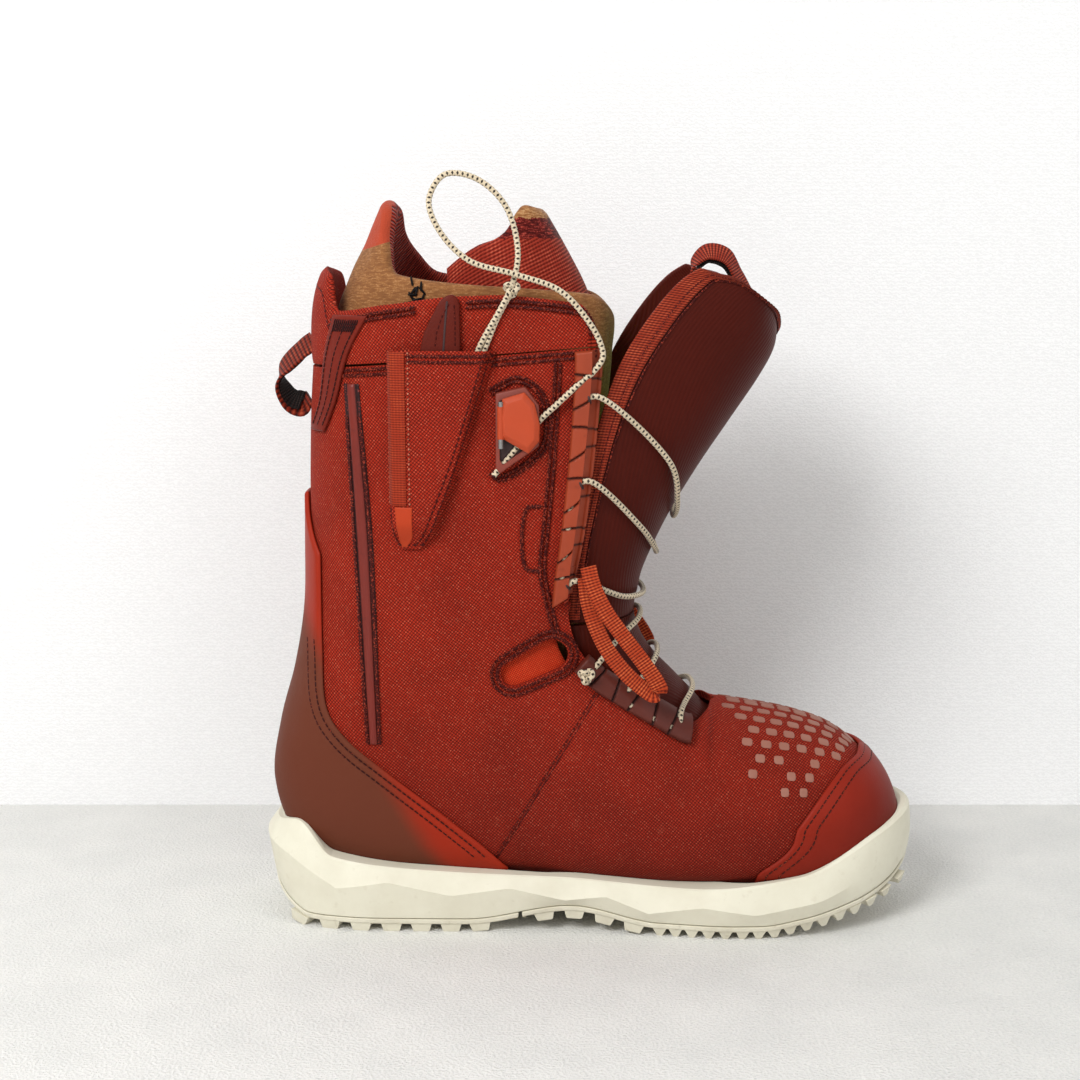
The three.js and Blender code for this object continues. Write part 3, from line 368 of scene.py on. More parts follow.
tongue = Skin([
    (182, 97.6, 177, 87, 22, 21, 0, 1, 2.3, 2), (164.5, 98.8, 159, 87, 26, 26, 0, 1, 2.3, 2),
    (154.8, 108, 146, 93, 28.5, 28.5, 0, 1, 2.3, 2), (144.8, 118.3, 131, 100, 31, 31, 0, 1, 2.3, 2),
    (136, 127.5, 113, 106, 33, 33, 0, 1, 2.3, 2), (129.3, 138, 99, 124, 34, 34, 0, 1, 2.3, 2),
    (126, 149.5, 94, 148, 37, 37, 0, 1, 2.3, 2), (127.8, 161, 94.5, 167, 39, 39, 0, 1, 2.3, 2),
    (131, 173, 96.5, 188, 41.5, 41.5, 0, 1, 2.3, 2), (142, 196.5, 102, 220, 44, 44, 0, 1, 2.3, 2),
    (156, 220, 108, 247, 45, 45, 0, 1, 2.3, 2), (170, 241, 117, 272, 45.6, 45.6, 0, 1, 2.3, 2),
    (184.3, 262.5, 130, 293, 45.6, 45.6, 0, 1, 2.3, 2), (191.5, 277, 144, 309, 44.4, 44.4, 0, 1, 2.3, 2),
    (192.6, 291.5, 158.5, 317.5, 42, 42, 0, 1, 2.3, 2),
])


def tube_faces(rings, around, ends=True):
    """The faces of a tube of closed rings, with its ends shut."""
    faces = [(i * around + j, i * around + (j + 1) % around, (i + 1) * around + (j + 1) % around,
              (i + 1) * around + j)
             for i in range(rings - 1) for j in range(around)]
    if ends:
        faces += [tuple(range(around))[::-1], tuple((rings - 1) * around + j for j in range(around))]
    return faces


def body_mesh(name, points, faces, uv=None, sides=None):
    """A mesh object at the origin, from points in millimetres. Its faces are turned outward."""
    points = np.asarray(points, float)
    mesh = bpy.data.meshes.new(name)
    mesh.from_pydata(points * 0.001, [], faces)
    corner = np.zeros(len(mesh.loops), int)
    mesh.loops.foreach_get("vertex_index", corner)
    for label, values in (("laid", uv), ("sides", sides)):
        if values is not None:
            layer = mesh.uv_layers.new(name=label)
            layer.data.foreach_set("uv", np.asarray(values, float)[corner].ravel())
    work = bmesh.new()
    work.from_mesh(mesh)
    bmesh.ops.remove_doubles(work, verts=work.verts, dist=2e-6)
    bmesh.ops.dissolve_degenerate(work, edges=work.edges, dist=1e-7)
    bmesh.ops.recalc_face_normals(work, faces=work.faces)
    if work.calc_volume(signed=True) < 0:
        bmesh.ops.reverse_faces(work, faces=work.faces)
    work.to_mesh(mesh)
    work.free()
    return in_scene(name, mesh)


def piece(made, body, material, replaces=(), sharp=35):
    """Gives a mesh its finish, and says which body it rides on and what it stands for."""
    mesh = made.data
    mesh.materials.clear()
    mesh.materials.append(material)
    mesh.polygons.foreach_set("use_smooth", np.ones(len(mesh.polygons), bool))
    mesh.set_sharp_from_angle(angle=math.radians(sharp))
    mesh.update()
    if body:
        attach(made, body)
    if replaces:
        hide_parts(*replaces)
    return made


def smooth_path(points, step):
    """Centripetal Catmull-Rom through points, resampled every step millimetres."""
    p = np.array(points, float)
    ends = [2 * p[0] - p[1], *p, 2 * p[-1] - p[-2]]
    line = []
    for a, b, c, d in zip(ends, ends[1:], ends[2:], ends[3:]):
        knots = np.cumsum([0, *[max(np.linalg.norm(f - e) ** 0.5, 1e-6)
                                for e, f in ((a, b), (b, c), (c, d))]])
        t = np.linspace(knots[1], knots[2], 24, endpoint=False)[:, None]
        k0, k1, k2, k3 = knots
        ab, bc, cd = (((k1 - t) * a + (t - k0) * b) / (k1 - k0), ((k2 - t) * b + (t - k1) * c) / (k2 - k1),
                      ((k3 - t) * c + (t - k2) * d) / (k3 - k2))
        abc, bcd = ((k2 - t) * ab + (t - k0) * bc) / (k2 - k0), ((k3 - t) * bc + (t - k1) * cd) / (k3 - k1)
        line.extend(((k2 - t) * abc + (t - k1) * bcd) / (k2 - k1))
    line = np.array([*line, p[-1]])
    walked = walked_along(line)
    at = np.linspace(0, walked[-1], max(4, int(round(walked[-1] / step)) + 1))
    return np.stack([np.interp(at, walked, line[:, k]) for k in range(3)], -1)


def frames(path):
    """Tangent and two square directions along a path, without twist."""
    tangent = unit(np.gradient(path, axis=0))
    first = np.cross(tangent[0], (0, 1, 0.02))
    across = [unit(first)]
    for t in tangent[1:]:
        w = across[-1] - t * np.dot(across[-1], t)
        across.append(unit(w))
    across = np.array(across)
    return tangent, across, np.cross(tangent, across)


LACE = 2.6
BRAID_PITCH = 4.6


def braided_cord(name, path, radius=LACE / 2, around=14):
    """A tube whose wall swells with the crossing strands of an eight-strand braid."""
    _, e1, e2 = frames(path)
    walked = walked_along(path)
    angle = np.arange(around) / around * 2 * np.pi
    turn, run = np.meshgrid(angle, walked)
    one = np.abs(np.sin(2 * (turn + run * 2 * np.pi / BRAID_PITCH / 2)))
    two = np.abs(np.sin(2 * (turn - run * 2 * np.pi / BRAID_PITCH / 2)))
    r = radius * (0.90 + 0.14 * np.maximum(one, two))
    points = path[:, None] + r[..., None] * (np.cos(turn)[..., None] * e1[:, None] + np.sin(turn)[..., None]
            * e2[:, None])
    made = body_mesh(name, points.reshape(-1, 3), tube_faces(len(path), around))
    # The braid's colours follow the cord: U round it and V along it, in strands.
    layer = made.data.attributes.new("strand", "FLOAT_VECTOR", "POINT")
    where = np.stack([turn / (2 * np.pi), run / BRAID_PITCH, 0 * run], -1).reshape(-1, 3)
    layer.data.foreach_set("vector", where.ravel())
    return made


braid_finish, tree, shader = new_material("braided polyester", roughness=0.75, sheen=0.25, specular=0.3)
# The dark marks lie where the two sets of strands cross. Whole numbers of them go round, so no seam shows.
strand = node(tree, "ShaderNodeAttribute", attribute_name="strand").outputs["Vector"]
parts = separate(tree, strand)
left = times_plus(tree, parts[0], 2.0, times(tree, parts[1], 2.0))
right = times_plus(tree, parts[0], -2.0, times(tree, parts[1], 2.0))
left_mark = math_node(tree, "LESS_THAN", math_node(tree, "FRACT", left), 0.52)
right_mark = math_node(tree, "LESS_THAN", math_node(tree, "FRACT", right), 0.50)
mark = times(tree, left_mark, right_mark)
place = object_place(tree)
fuzz = noise(tree, place, 2400, 3)
soiled = noise(tree, place, 60, 2)
cream = blend_colours(tree, soiled, rgb("E9DCC2"), rgb("CDBB9C"))
cream = blend_colours(tree, times(tree, fuzz, 0.6), cream, rgb("A8957A"))
black = blend_colours(tree, fuzz, rgb("15110F"), rgb("3A302A"))
tree.links.new(blend_colours(tree, mark, cream, black), shader.inputs["Base Color"])
relief(tree, shader, fuzz, 0.00025, 0.6)

RAIL_GAP, RAIL_THICK = 0.8, 4.6
RAIL_MIDDLE = RAIL_GAP + RAIL_THICK / 2
LACE_LIFT = LACE / 2 + 0.4 + 1.4
LATERAL, MEDIAL = -1, 1
SIDES = (("lateral", LATERAL), ("medial", MEDIAL))


def on_rail(u, depth, side):
    v = side * upper.behind_edge(u, depth)
    return upper.point(u, v) + upper.normal(u, v) * RAIL_MIDDLE


def out_of_rail(u, distance, side):
    x, y, z = on_rail(u, 1, side)
    c = upper.section(u)
    chord = np.hypot(c[2] - c[0], c[3] - c[1])
    return np.array([x - (c[2] - c[0]) * distance / chord, y, z - (c[3] - c[1]) * distance / chord])


def crossing(rail_u, front_u, side_u, start):
    """From one rail over the front of the tongue to the other."""
    def on_tongue(u, v):
        return tongue.point(u, v) + tongue.normal(u, v) * LACE_LIFT

    def half(side):
        return [on_rail(rail_u, 4, side), out_of_rail(rail_u, 3, side),
                on_tongue(front_u + (side_u - front_u) * 0.55, side * 0.72),
                on_tongue(front_u + (side_u - front_u) * 0.2, side * 0.86)]
    return [*half(start), on_tongue(front_u, 1.0), *half(-start)[::-1]]


STRAND_STEP = 0.38
upper_route = [*crossing(20.1, 9, 10.6, LATERAL), on_rail(19.3, 5.4, MEDIAL),
               *crossing(18.4, 8.3, 9, MEDIAL), on_rail(17, 5.4, LATERAL), *crossing(15.6, 6.9, 7, LATERAL)]
lower_route = [*crossing(12.15, 5.9, 5.3, LATERAL), on_rail(11.6, 5.4, MEDIAL),
               *crossing(10.9, 4.1, 4, MEDIAL), on_rail(10.2, 5.4, LATERAL),
               *crossing(9.4, 2.2, 2.5, LATERAL)]
pocket_end = [(48, 55, 262), (50, 55, 270.5), (53.5, 55, 280)]
loops = {
    LATERAL: [(67.8, 54.8, 306.8), (70.5, 53, 322.4), (64.8, 52, 342.3), (51.4, 51.5, 354.1), (38, 52, 355.4),
              (31.2, 53, 344.5), (35.6, 55, 331.3), (48.9, 57.5, 318), (69.2, 58.5, 312), (89.4, 58.5, 304.6),
              (102, 58, 291.1)],
    MEDIAL: [(62, 55.3, 292), (76, 56, 297), (91, 57, 294.5), (101, 57.5, 288)],
}
down = [(107.5, 57, 281), (108.4, 57, 275), (104.5, 57, 269), (97, 57, 262.5), (88.5, 56.4, 254.5),
        (80.4, 55.5, 246.9), (72.5, 55.5, 237.5), (64.6, 55.5, 227.8), (59.4, 55.2, 221.6)]

pull_routes = {side: [(x, side * y, z) for x, y, z in (*pocket_end, *loops[side], *down)]
               for _, side in SIDES}

for name, route in (("upper_lace", upper_route), ("lower_lace", lower_route)):
    path = smooth_path(route, STRAND_STEP)
    body = None if name == "upper_lace" else "boot"
    made = piece(braided_cord(name + "_cord", path), body, braid_finish, [name], 80)
    if name == "upper_lace":
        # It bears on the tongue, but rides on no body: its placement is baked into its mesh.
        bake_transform(made)
for label, side in SIDES:
    path = smooth_path(pull_routes[side], STRAND_STEP)
    made = piece(braided_cord(f"pull_lace_{label}_cord", path), "boot", braid_finish,
                 [f"pull_lace_{label}"], 80)

# ========================================================================================= the sole
# The midsole is a block of cream EVA foam, moulded with flat facets along its sides and a round toe
# bumper. The upper is lasted, sinks into its hollow top and is glued there. The outsole is the same
# cream rubber in two treads, with block lugs under the heel and fine teeth under the forefoot.

HEEL_X, TOE_X = -50, 262
LUG_DEPTH, TREAD_PLATE = 4.2, 2.4
sole_lateral = steady([(-50, 3), (-49, 12), (-46, 21), (-38, 31), (-22, 39.5), (0, 43.5), (40, 44.5),
                       (90, 45),
                       (135, 50), (172, 55), (205, 52.5), (228, 45), (245, 34), (256, 21), (260.5, 11),
                       (262, 3)])
sole_medial = steady([(-50, 3), (-49, 12), (-46, 21), (-38, 31), (-22, 39.5), (0, 43.5), (40, 44), (90, 44),
                      (135, 46.5), (172, 51.5), (205, 50.5), (228, 46), (245, 36.5), (256, 24), (260.5, 12.5),
                      (262, 3)])
tread = steady([(-50, 14), (-42, 6), (-30, 0), (45, 0), (95, 7), (138, 0),
                (185, 0), (205, 3), (225, 7.5), (240, 12), (252, 17.5), (262, 25)])
midsole_top = steady([(-50, 48), (-37, 52), (-19, 36), (38, 30), (90, 27.7), (151, 24.5), (203, 30),
                      (240, 47), (262, 55)])
CREASE = [(-50, 41), (-38, 36), (-16, 22), (8, 26), (38, 19.5), (66, 23.5), (92, 17.5), (112, 20),
          (132, 12.5), (158, 17), (182, 13.5),
          (212, 19), (240, 29), (262, 38)]


def eased(t, start, end):
    """0 before start, 1 after end, and smooth between."""
    t = np.clip((t - start) / (end - start), 0, 1)
    return t * t * (3 - 2 * t)


def crease(x):
    """The line where the side's facets meet."""
    return np.interp(x, *np.transpose(CREASE))


UPPER_OVERLAY, UPPER_GAP = 1.7, 1.2


def sole_stations(from_x, to_x, count):
    half = (to_x - from_x) / 2
    return from_x + half * (1 - np.cos(np.pi * np.arange(count + 1) / count))


def sole_block(name, from_x, to_x, count, levels):
    """A block with the sole's outline. levels(x) gives a list of (z, how far it stands out) from the
    bottom edge to the top one."""
    x = sole_stations(from_x, to_x, count)
    ring_x = np.concatenate([x, x[::-1]])
    ring_y = np.concatenate([-sole_lateral(x), sole_medial(x[::-1])])
    plan = np.stack([ring_x, ring_y], -1)
    along = np.roll(plan, -1, 0) - np.roll(plan, 1, 0)
    out = unit(np.stack([along[:, 1], -along[:, 0]], -1))
    points = [np.column_stack([plan + out * stand[:, None], z]) for z, stand in levels(ring_x)]
    n, rows = len(plan), len(points)
    faces = tube_faces(rows, n, ends=False)
    for base in (0, (rows - 1) * n):
        faces += [(base + i, base + i + 1, base + n - 2 - i, base + n - 1 - i) for i in range(count)]
    return body_mesh(name, np.concatenate(points), faces)


def midsole_levels(x):
    low, high = tread(x) + LUG_DEPTH + TREAD_PLATE + 0.3, midsole_top(x)
    toe = eased(x, 205, 240)
    heel = np.clip((-22 - x) / 14, 0, 1)
    middle = np.clip((crease(x) - low) / (high - low), 0.2, 0.8)
    rows = [(low - 0.2, 0 * x - 1.2), (low + 0.3, 0 * x - 0.2)]
    for share in (0.10, 0.35, 0.7, 1.0):
        t = 0.04 + share * (middle - 0.04)
        flat = 3.2 * share
        rows.append((low + (high - low) * t, flat * (1 - toe) + toe * 1.6 * np.sin(np.pi * t) ** 0.6
                     + heel * 0.6))
    for share in (0.12, 0.3, 0.55, 0.8, 0.94):
        t = middle + share * (0.985 - middle)
        flat = 3.2 * (1 - share) - 0.9 * share
        rows.append((low + (high - low) * t, flat * (1 - toe) + toe * 1.6 * np.sin(np.pi * t) ** 0.6
                     + heel * 0.6 * (1 - share)))
    rows.append((high, 0 * x - 1.4 * (1 - toe) - 0.8 * toe))
    rows.append((high + 0.1, 0 * x - 3.4))
    return rows


def skin_volume(name, skin, grow, to_u, rings, around):
    u = np.linspace(0.02, to_u, rings)[:, None]
    v = (-1 + (2 * np.arange(around) + 1) / around)[None, :]
    u, v = np.broadcast_arrays(u, v)
    points = skin.point(u, v) + skin.normal(u, v) * grow(u)[..., None]
    return body_mesh(name, points.reshape(-1, 3), tube_faces(rings, around))


def settle(made):
    """Turns a piece's modifiers into plain mesh."""
    made.data = bpy.data.meshes.new_from_object(made.evaluated_get(bpy.context.evaluated_depsgraph_get()))
    made.modifiers.clear()


def cut(made, *tools):
    """Cuts the tools out of a piece and throws them away."""
    for tool in tools:
        knife = made.modifiers.new("cut", "BOOLEAN")
        knife.operation = "DIFFERENCE"
        knife.solver = "MANIFOLD"
        knife.object = tool
        settle(made)
        bpy.data.objects.remove(tool)
    return made


def effect(name, inputs, outputs):
    """An empty shader node group with named sockets, given with their kinds."""
    tree = bpy.data.node_groups.new(name, "ShaderNodeTree")
    for way, sockets in (("INPUT", inputs), ("OUTPUT", outputs)):
        for label, kind in sockets.items():
            tree.interface.new_socket(label, in_out=way, socket_type="NodeSocket" + kind)
    return tree, tree.nodes.new("NodeGroupInput").outputs, tree.nodes.new("NodeGroupOutput")


def use(tree, group, **wires):
    made = tree.nodes.new("ShaderNodeGroup")
    made.node_tree = group
    for key, value in wires.items():
        key = key.replace("_", " ")
        if isinstance(value, bpy.types.NodeSocket):
            tree.links.new(value, made.inputs[key])
        else:
            made.inputs[key].default_value = value
    return made.outputs


def dressed(tree, shader, out, deep, strength):
    """Feeds what a group puts out to the shader."""
    for label, socket in (("Colour", "Base Color"), ("Roughness", "Roughness")):
        if label in out:
            tree.links.new(out[label], shader.inputs[socket])
    relief(tree, shader, out["Height"], deep, strength)


# Moulded rubber: a fine grain, soft cloudy soiling, and scuffs that catch on low and raised places.
moulded, given, result = effect(
    "moulded grain",
    {"Vector": "Vector", "Colour": "Color", "Soiled": "Color", "Soil": "Float", "Grain": "Float"},
    {"Colour": "Color", "Height": "Float", "Roughness": "Float"},
)
grain = noise(moulded, given["Vector"], given["Grain"], 3)
cloud = noise(moulded, given["Vector"], 34, 5, 0.65)
speck = noise(moulded, given["Vector"], 210, 4)
patchy = ramp(moulded, cloud, 0.42, 0.72)
specks = ramp(moulded, speck, 0.60, 0.74)
soil = times(moulded, math_node(moulded, "MAXIMUM", patchy, specks), given["Soil"])
moulded.links.new(blend_colours(moulded, soil, given["Colour"], given["Soiled"]), result.inputs["Colour"])
moulded.links.new(times_plus(moulded, cloud, 0.4, times(moulded, grain, 0.6)), result.inputs["Height"])
moulded.links.new(times_plus(moulded, cloud, 0.35, 0.38), result.inputs["Roughness"])


def moulded_finish(name, colour, soiled, soil=0.3, grain=900.0, depth=0.0002, roughness=0.5, coat=0.0,
                   specular=0.5):
    material, tree, shader = new_material(name, roughness, coat=coat, specular=specular)
    place = object_place(tree)
    out = use(tree, moulded, Vector=place, Colour=rgb(colour), Soiled=rgb(soiled), Soil=soil, Grain=grain)
    dressed(tree, shader, out, depth, 0.5)
    return material


foam_finish = moulded_finish("cream midsole foam", "DDD9C6", "B0A488", 0.22, 1300, 0.0002, specular=0.3)
tread_finish = moulded_finish("cream outsole rubber", "D8D3C0", "948668", 0.36, 900, 0.0003, specular=0.4)

midsole = sole_block("midsole_foam", HEEL_X, TOE_X, 150, midsole_levels)
WRAPPED = UPPER_OVERLAY + UPPER_GAP + 0.25
room = steady([(6.2, WRAPPED), (6.9, 0.15), (10.3, 0.15), (10.9, WRAPPED)])
cut(midsole, skin_volume("hollow", upper, room, 15.5, 110, 90))
piece(midsole, "boot", foam_finish, ["midsole"], sharp=13)

# The tree that sets copies of a small shape on a guide's points, used for lugs, stitches and prints.
set_out_tree = bpy.data.node_groups.new("set out copies", "GeometryNodeTree")
for label, kind, value in (("Guide", "Geometry", None), ("Shape", "Object", None), ("Length", "Float", 1.0),
                           ("Width", "Float", 1.0), ("Height", "Float", 1.0), ("Finish", "Material", None)):
    made = set_out_tree.interface.new_socket(label, in_out="INPUT", socket_type="NodeSocket" + kind)
    if value is not None:
        made.default_value = value
set_out_tree.interface.new_socket("Copies", in_out="OUTPUT", socket_type="NodeSocketGeometry")
given = set_out_tree.nodes.new("NodeGroupInput").outputs
shape_of = node(set_out_tree, "GeometryNodeObjectInfo", {0: given["Shape"]}).outputs["Geometry"]
turn = node(set_out_tree, "GeometryNodeInputNamedAttribute", {0: "turn"}, data_type="FLOAT_VECTOR").outputs[0]
stretch = node(set_out_tree, "GeometryNodeInputNamedAttribute", {0: "stretch"},
               data_type="FLOAT_VECTOR").outputs[0]
size = node(set_out_tree, "ShaderNodeCombineXYZ",
            {0: given["Length"], 1: given["Width"], 2: given["Height"]}).outputs[0]
scale = node(set_out_tree, "ShaderNodeVectorMath", {0: size, 1: stretch}, operation="MULTIPLY").outputs[0]
rotation = node(set_out_tree, "FunctionNodeEulerToRotation", {0: turn}).outputs[0]
copies = node(set_out_tree, "GeometryNodeInstanceOnPoints",
              {"Points": given["Guide"], "Instance": shape_of, "Rotation": rotation,
               "Scale": scale}).outputs[0]
solid = node(set_out_tree, "GeometryNodeRealizeInstances", {0: copies}).outputs[0]
finished = node(set_out_tree, "GeometryNodeSetMaterial",
                {"Geometry": solid, "Material": given["Finish"]}).outputs[0]
set_out_tree.links.new(finished, set_out_tree.nodes.new("NodeGroupOutput").inputs[0])


def turns_of(along, up):
    """Euler angles that turn X along one direction and Z up another."""
    x = unit(along)
    y = unit(np.cross(up, x))
    z = np.cross(x, y)
    return np.stack([np.arctan2(y[:, 2], z[:, 2]), -np.arcsin(np.clip(x[:, 2], -1, 1)),
                     np.arctan2(x[:, 1], x[:, 0])], -1)


def set_out(name, shape, points, along, up, size, finish, stretch=None):
    """Copies of a unit shape at points in millimetres, each turned along and up, as one mesh."""
    mesh = bpy.data.meshes.new(name + "_guide")
    mesh.from_pydata(np.asarray(points) * 0.001, [], [])
    stretch = np.ones((len(points), 3)) if stretch is None else stretch
    for label, values in (("turn", turns_of(np.asarray(along, float), np.asarray(up, float))),
                          ("stretch", stretch)):
        layer = mesh.attributes.new(label, "FLOAT_VECTOR", "POINT")
        layer.data.foreach_set("vector", np.asarray(values, float).ravel())
    guide = in_scene(name + "_guide", mesh)
    setter = guide.modifiers.new("set out", "NODES")
    setter.node_group = set_out_tree
    values = {"Shape": shape, "Length": size[0] * 0.001, "Width": size[1] * 0.001, "Height": size[2] * 0.001,
              "Finish": finish}
    for item in set_out_tree.interface.items_tree:
        if item.in_out == "INPUT" and item.name in values:
            setter[item.identifier] = values[item.name]
    whole = bpy.data.meshes.new_from_object(guide.evaluated_get(bpy.context.evaluated_depsgraph_get()))
    bpy.data.objects.remove(guide)
    for label in ("turn", "stretch"):
        if label in whole.attributes:
            whole.attributes.remove(whole.attributes[label])
    whole.name = name
    return in_scene(name, whole)


def pattern_shape(name, points, faces):
    """A small shape to copy. It isn't linked to the scene, so it never shows itself."""
    mesh = bpy.data.meshes.new(name)
    mesh.from_pydata(points, [], faces)
    work = bmesh.new()
    work.from_mesh(mesh)
    bmesh.ops.recalc_face_normals(work, faces=work.faces)
    work.to_mesh(mesh)
    work.free()
    mesh.polygons.foreach_set("use_smooth", np.ones(len(mesh.polygons), bool))
    return bpy.data.objects.new(name, mesh)


def tapered_block(name, foot, chamfer=0.1):
    """A block from z 0, its foot scaled by foot, to z 1, with its lower edges taken off."""
    rings = []
    for z, grow in ((0, foot - chamfer), (chamfer, foot), (1, 1.0)):
        rings += [(sx * 0.5 * grow, sy * 0.5 * (grow * 0.4 + 0.6), z)
                  for sx, sy in ((-1, -1), (1, -1), (1, 1), (-1, 1))]
    return pattern_shape(name, rings, tube_faces(3, 4))


lug_shape = tapered_block("lug", 0.74)
tooth_shape = tapered_block("tooth", 0.42, 0.12)


def plate_levels(x):
    low = tread(x) + LUG_DEPTH
    return [(low - 0.4, 0 * x - 1.6), (low, 0 * x - 0.4), (low + 0.6, 0 * x),
            (low + TREAD_PLATE - 0.3, 0 * x + 0.2),
            (low + TREAD_PLATE, 0 * x - 0.2)]


def lugs_under(name, centres, pitch, depth, shape, rows, width):
    """Lugs in rows across the tread. The outer ones follow the sole's edge."""
    points, along, stretch = [], [], []
    for x in centres:
        for side, half in ((LATERAL, sole_lateral), (MEDIAL, sole_medial)):
            reach = float(half(x))
            slope = float(half(x + 1) - half(x - 1)) / 2
            for k in range(rows):
                y = reach - width / 2 - 0.6 - k * (width + 3.2)
                if y < width * 0.3:
                    continue
                points.append((x, side * y, float(tread(x)) + 0.02))
                lean = slope if k == 0 else 0
                along.append((1, side * lean, float(tread(x + 2) - tread(x - 2)) / 4))
                stretch.append((1, 1, 1 if k == 0 else 0.94))
    up = np.tile((0, 0, 1.0), (len(points), 1))
    return set_out(name, shape, points, along, up, (pitch, width, depth + 0.9), tread_finish, stretch)


def joined(name, *parts):
    """One mesh object from several."""
    work = bmesh.new()
    for part in parts:
        work.from_mesh(part.data)
    mesh = bpy.data.meshes.new(name)
    work.to_mesh(mesh)
    work.free()
    for part in parts:
        bpy.data.objects.remove(part)
    return in_scene(name, mesh)


heel_lugs = lugs_under("heel_lugs", [-33 + 14.2 * i for i in range(7)], 10.6, LUG_DEPTH, lug_shape, 2, 15)
heel_plate = sole_block("heel_plate", HEEL_X, 70, 70, plate_levels)
piece(joined("heel_tread", heel_plate, heel_lugs), "boot", tread_finish, ["outsole_heel"],
      sharp=25)
block_lugs = lugs_under("ball_lugs", [83 + 14.0 * i for i in range(4)], 10.2, LUG_DEPTH, lug_shape, 3, 12)
teeth = lugs_under("toe_teeth", [138 + 7.6 * i for i in range(16)], 7.0, LUG_DEPTH - 0.4, tooth_shape, 3, 13)
fore_plate = sole_block("fore_plate", 72, TOE_X, 110, plate_levels)
piece(joined("forefoot_tread", fore_plate, block_lugs, teeth), "boot", tread_finish,
      ["outsole_forefoot"], sharp=25)

# Under the foot, glued between the foam and the upper: a steel shank and a pressed board, both hidden.
steel_finish = moulded_finish("brushed steel", "9A9A98", "5A5652", 0.3, 2400, 0.0001)
steel_finish.node_tree.nodes["Principled BSDF"].inputs["Metallic"].default_value = 1.0
board_finish = moulded_finish("pressed fibre board", "2A2826", "4A443C", 0.4, 1500, 0.0004)
for name, finish in (("shank", steel_finish), ("lasting_board", board_finish),
                     ("heel_stiffener", board_finish),
                     ("lock_pin_lateral", steel_finish), ("lock_pin_medial", steel_finish)):
    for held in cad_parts[name].material_slots:
        held.material = finish

# ======================================================================================== the shell
# The upper is sewn from a vamp, two quarters and a padded collar band. Each is brick-red ballistic
# cloth over foam and lining, 3.2 mm thick, joined by lapped double-stitched seams.


def spaced(count, length, first=0.0, last=0.0):
    """Places from 0 to 1, with extra ones inside the rolled edges, whose widths are in millimetres."""
    places = set(np.round(np.linspace(0, 1, count + 1), 6))
    for share in (0.04, 0.15, 0.35, 0.65):
        if first:
            places.add(round(share * first / length, 6))
        if last:
            places.add(round(1 - share * last / length, 6))
    return np.array(sorted(places))


def sheet_on(name, place, rows, columns, inner, outer, rolled=(0, 0, 0, 0), closed_below=None, sides=False):
    """A closed sheet between two offsets of a curved face. place(a, b) gives points, normals and where
    they lie on the cloth. rolled gives how far in each border is rounded: first and last row, first and
    last column. Rows whose a is below closed_below meet themselves round the front."""
    a, b = np.meshgrid(rows, columns, indexing="ij")
    p, n, laid = place(a, b)
    if closed_below is not None:
        shut = rows <= closed_below
        middle = (p[:, 0] + p[:, -1]) / 2
        facing = unit((n[:, 0] + n[:, -1]) / 2 * np.array([1, 0, 1]))
        for k in (0, -1):
            p[shut, k], n[shut, k] = middle[shut], facing[shut]
    walked_a = np.concatenate([np.zeros((1, p.shape[1])),
                               np.cumsum(np.linalg.norm(np.diff(p, axis=0), axis=2), axis=0)])
    walked_b = np.concatenate([np.zeros((p.shape[0], 1)),
                               np.cumsum(np.linalg.norm(np.diff(p, axis=1), axis=2), axis=1)], 1)
    if laid is None:
        laid = np.stack([walked_b, walked_a], -1) * 0.001
    roll = np.ones(a.shape)
    for distance, width in zip((walked_a, walked_a[-1:] - walked_a, walked_b, walked_b[:, -1:] - walked_b),
                               rolled):
        if width:
            t = np.clip(distance / width, 0, 1)
            roll = np.minimum(roll, np.sqrt(np.maximum(0, 1 - (1 - t) ** 2)))
    low = inner(a, b) if callable(inner) else np.full(a.shape, float(inner))
    high = outer(a, b) if callable(outer) else np.full(a.shape, float(outer))
    half = (high - low) / 2 * np.maximum(roll, 0.05)
    middle = (high + low) / 2
    layers = [p + n * (middle + half)[..., None], p + n * (middle - half)[..., None]]
    r, c = a.shape
    points = np.concatenate([x.reshape(-1, 3) for x in layers])
    uv = np.concatenate([laid.reshape(-1, 2)] * 2)
    i, j = np.meshgrid(np.arange(r - 1), np.arange(c - 1), indexing="ij")
    top = (i * c + j).ravel()
    face = np.stack([top, top + c, top + c + 1, top + 1], -1)
    faces = [face, face[:, ::-1] + r * c]
    edge = np.arange(r - 1) * c
    if closed_below is not None:
        edge = edge[rows[:-1] >= closed_below - 1e-9]
    faces.append(np.stack([edge, edge + r * c, edge + c + r * c, edge + c], -1))
    edge = edge + c - 1
    faces.append(np.stack([edge, edge + c, edge + c + r * c, edge + r * c], -1))
    for base in (0, (r - 1) * c):
        k = base + np.arange(c - 1)
        faces.append(np.stack([k, k + 1, k + 1 + r * c, k + r * c], -1))
    which = None
    if sides:
        marks = sides(a, b) if callable(sides) else a
        which = np.concatenate([np.stack([marks.ravel(), np.full(a.size, k)], -1) for k in (1.0, 0.0)])
    return body_mesh(name, points, np.concatenate(faces).tolist(), uv, sides=which)


def on_skin(skin, to_uv, cloth=True):
    """place() for sheet_on, from a rule that gives u and v."""
    def place(a, b):
        u, v = to_uv(a, b)
        u, v = np.broadcast_arrays(u, v)
        return skin.point(u, v), skin.normal(u, v), (skin.unrolled(u, v) if cloth else None)
    return place


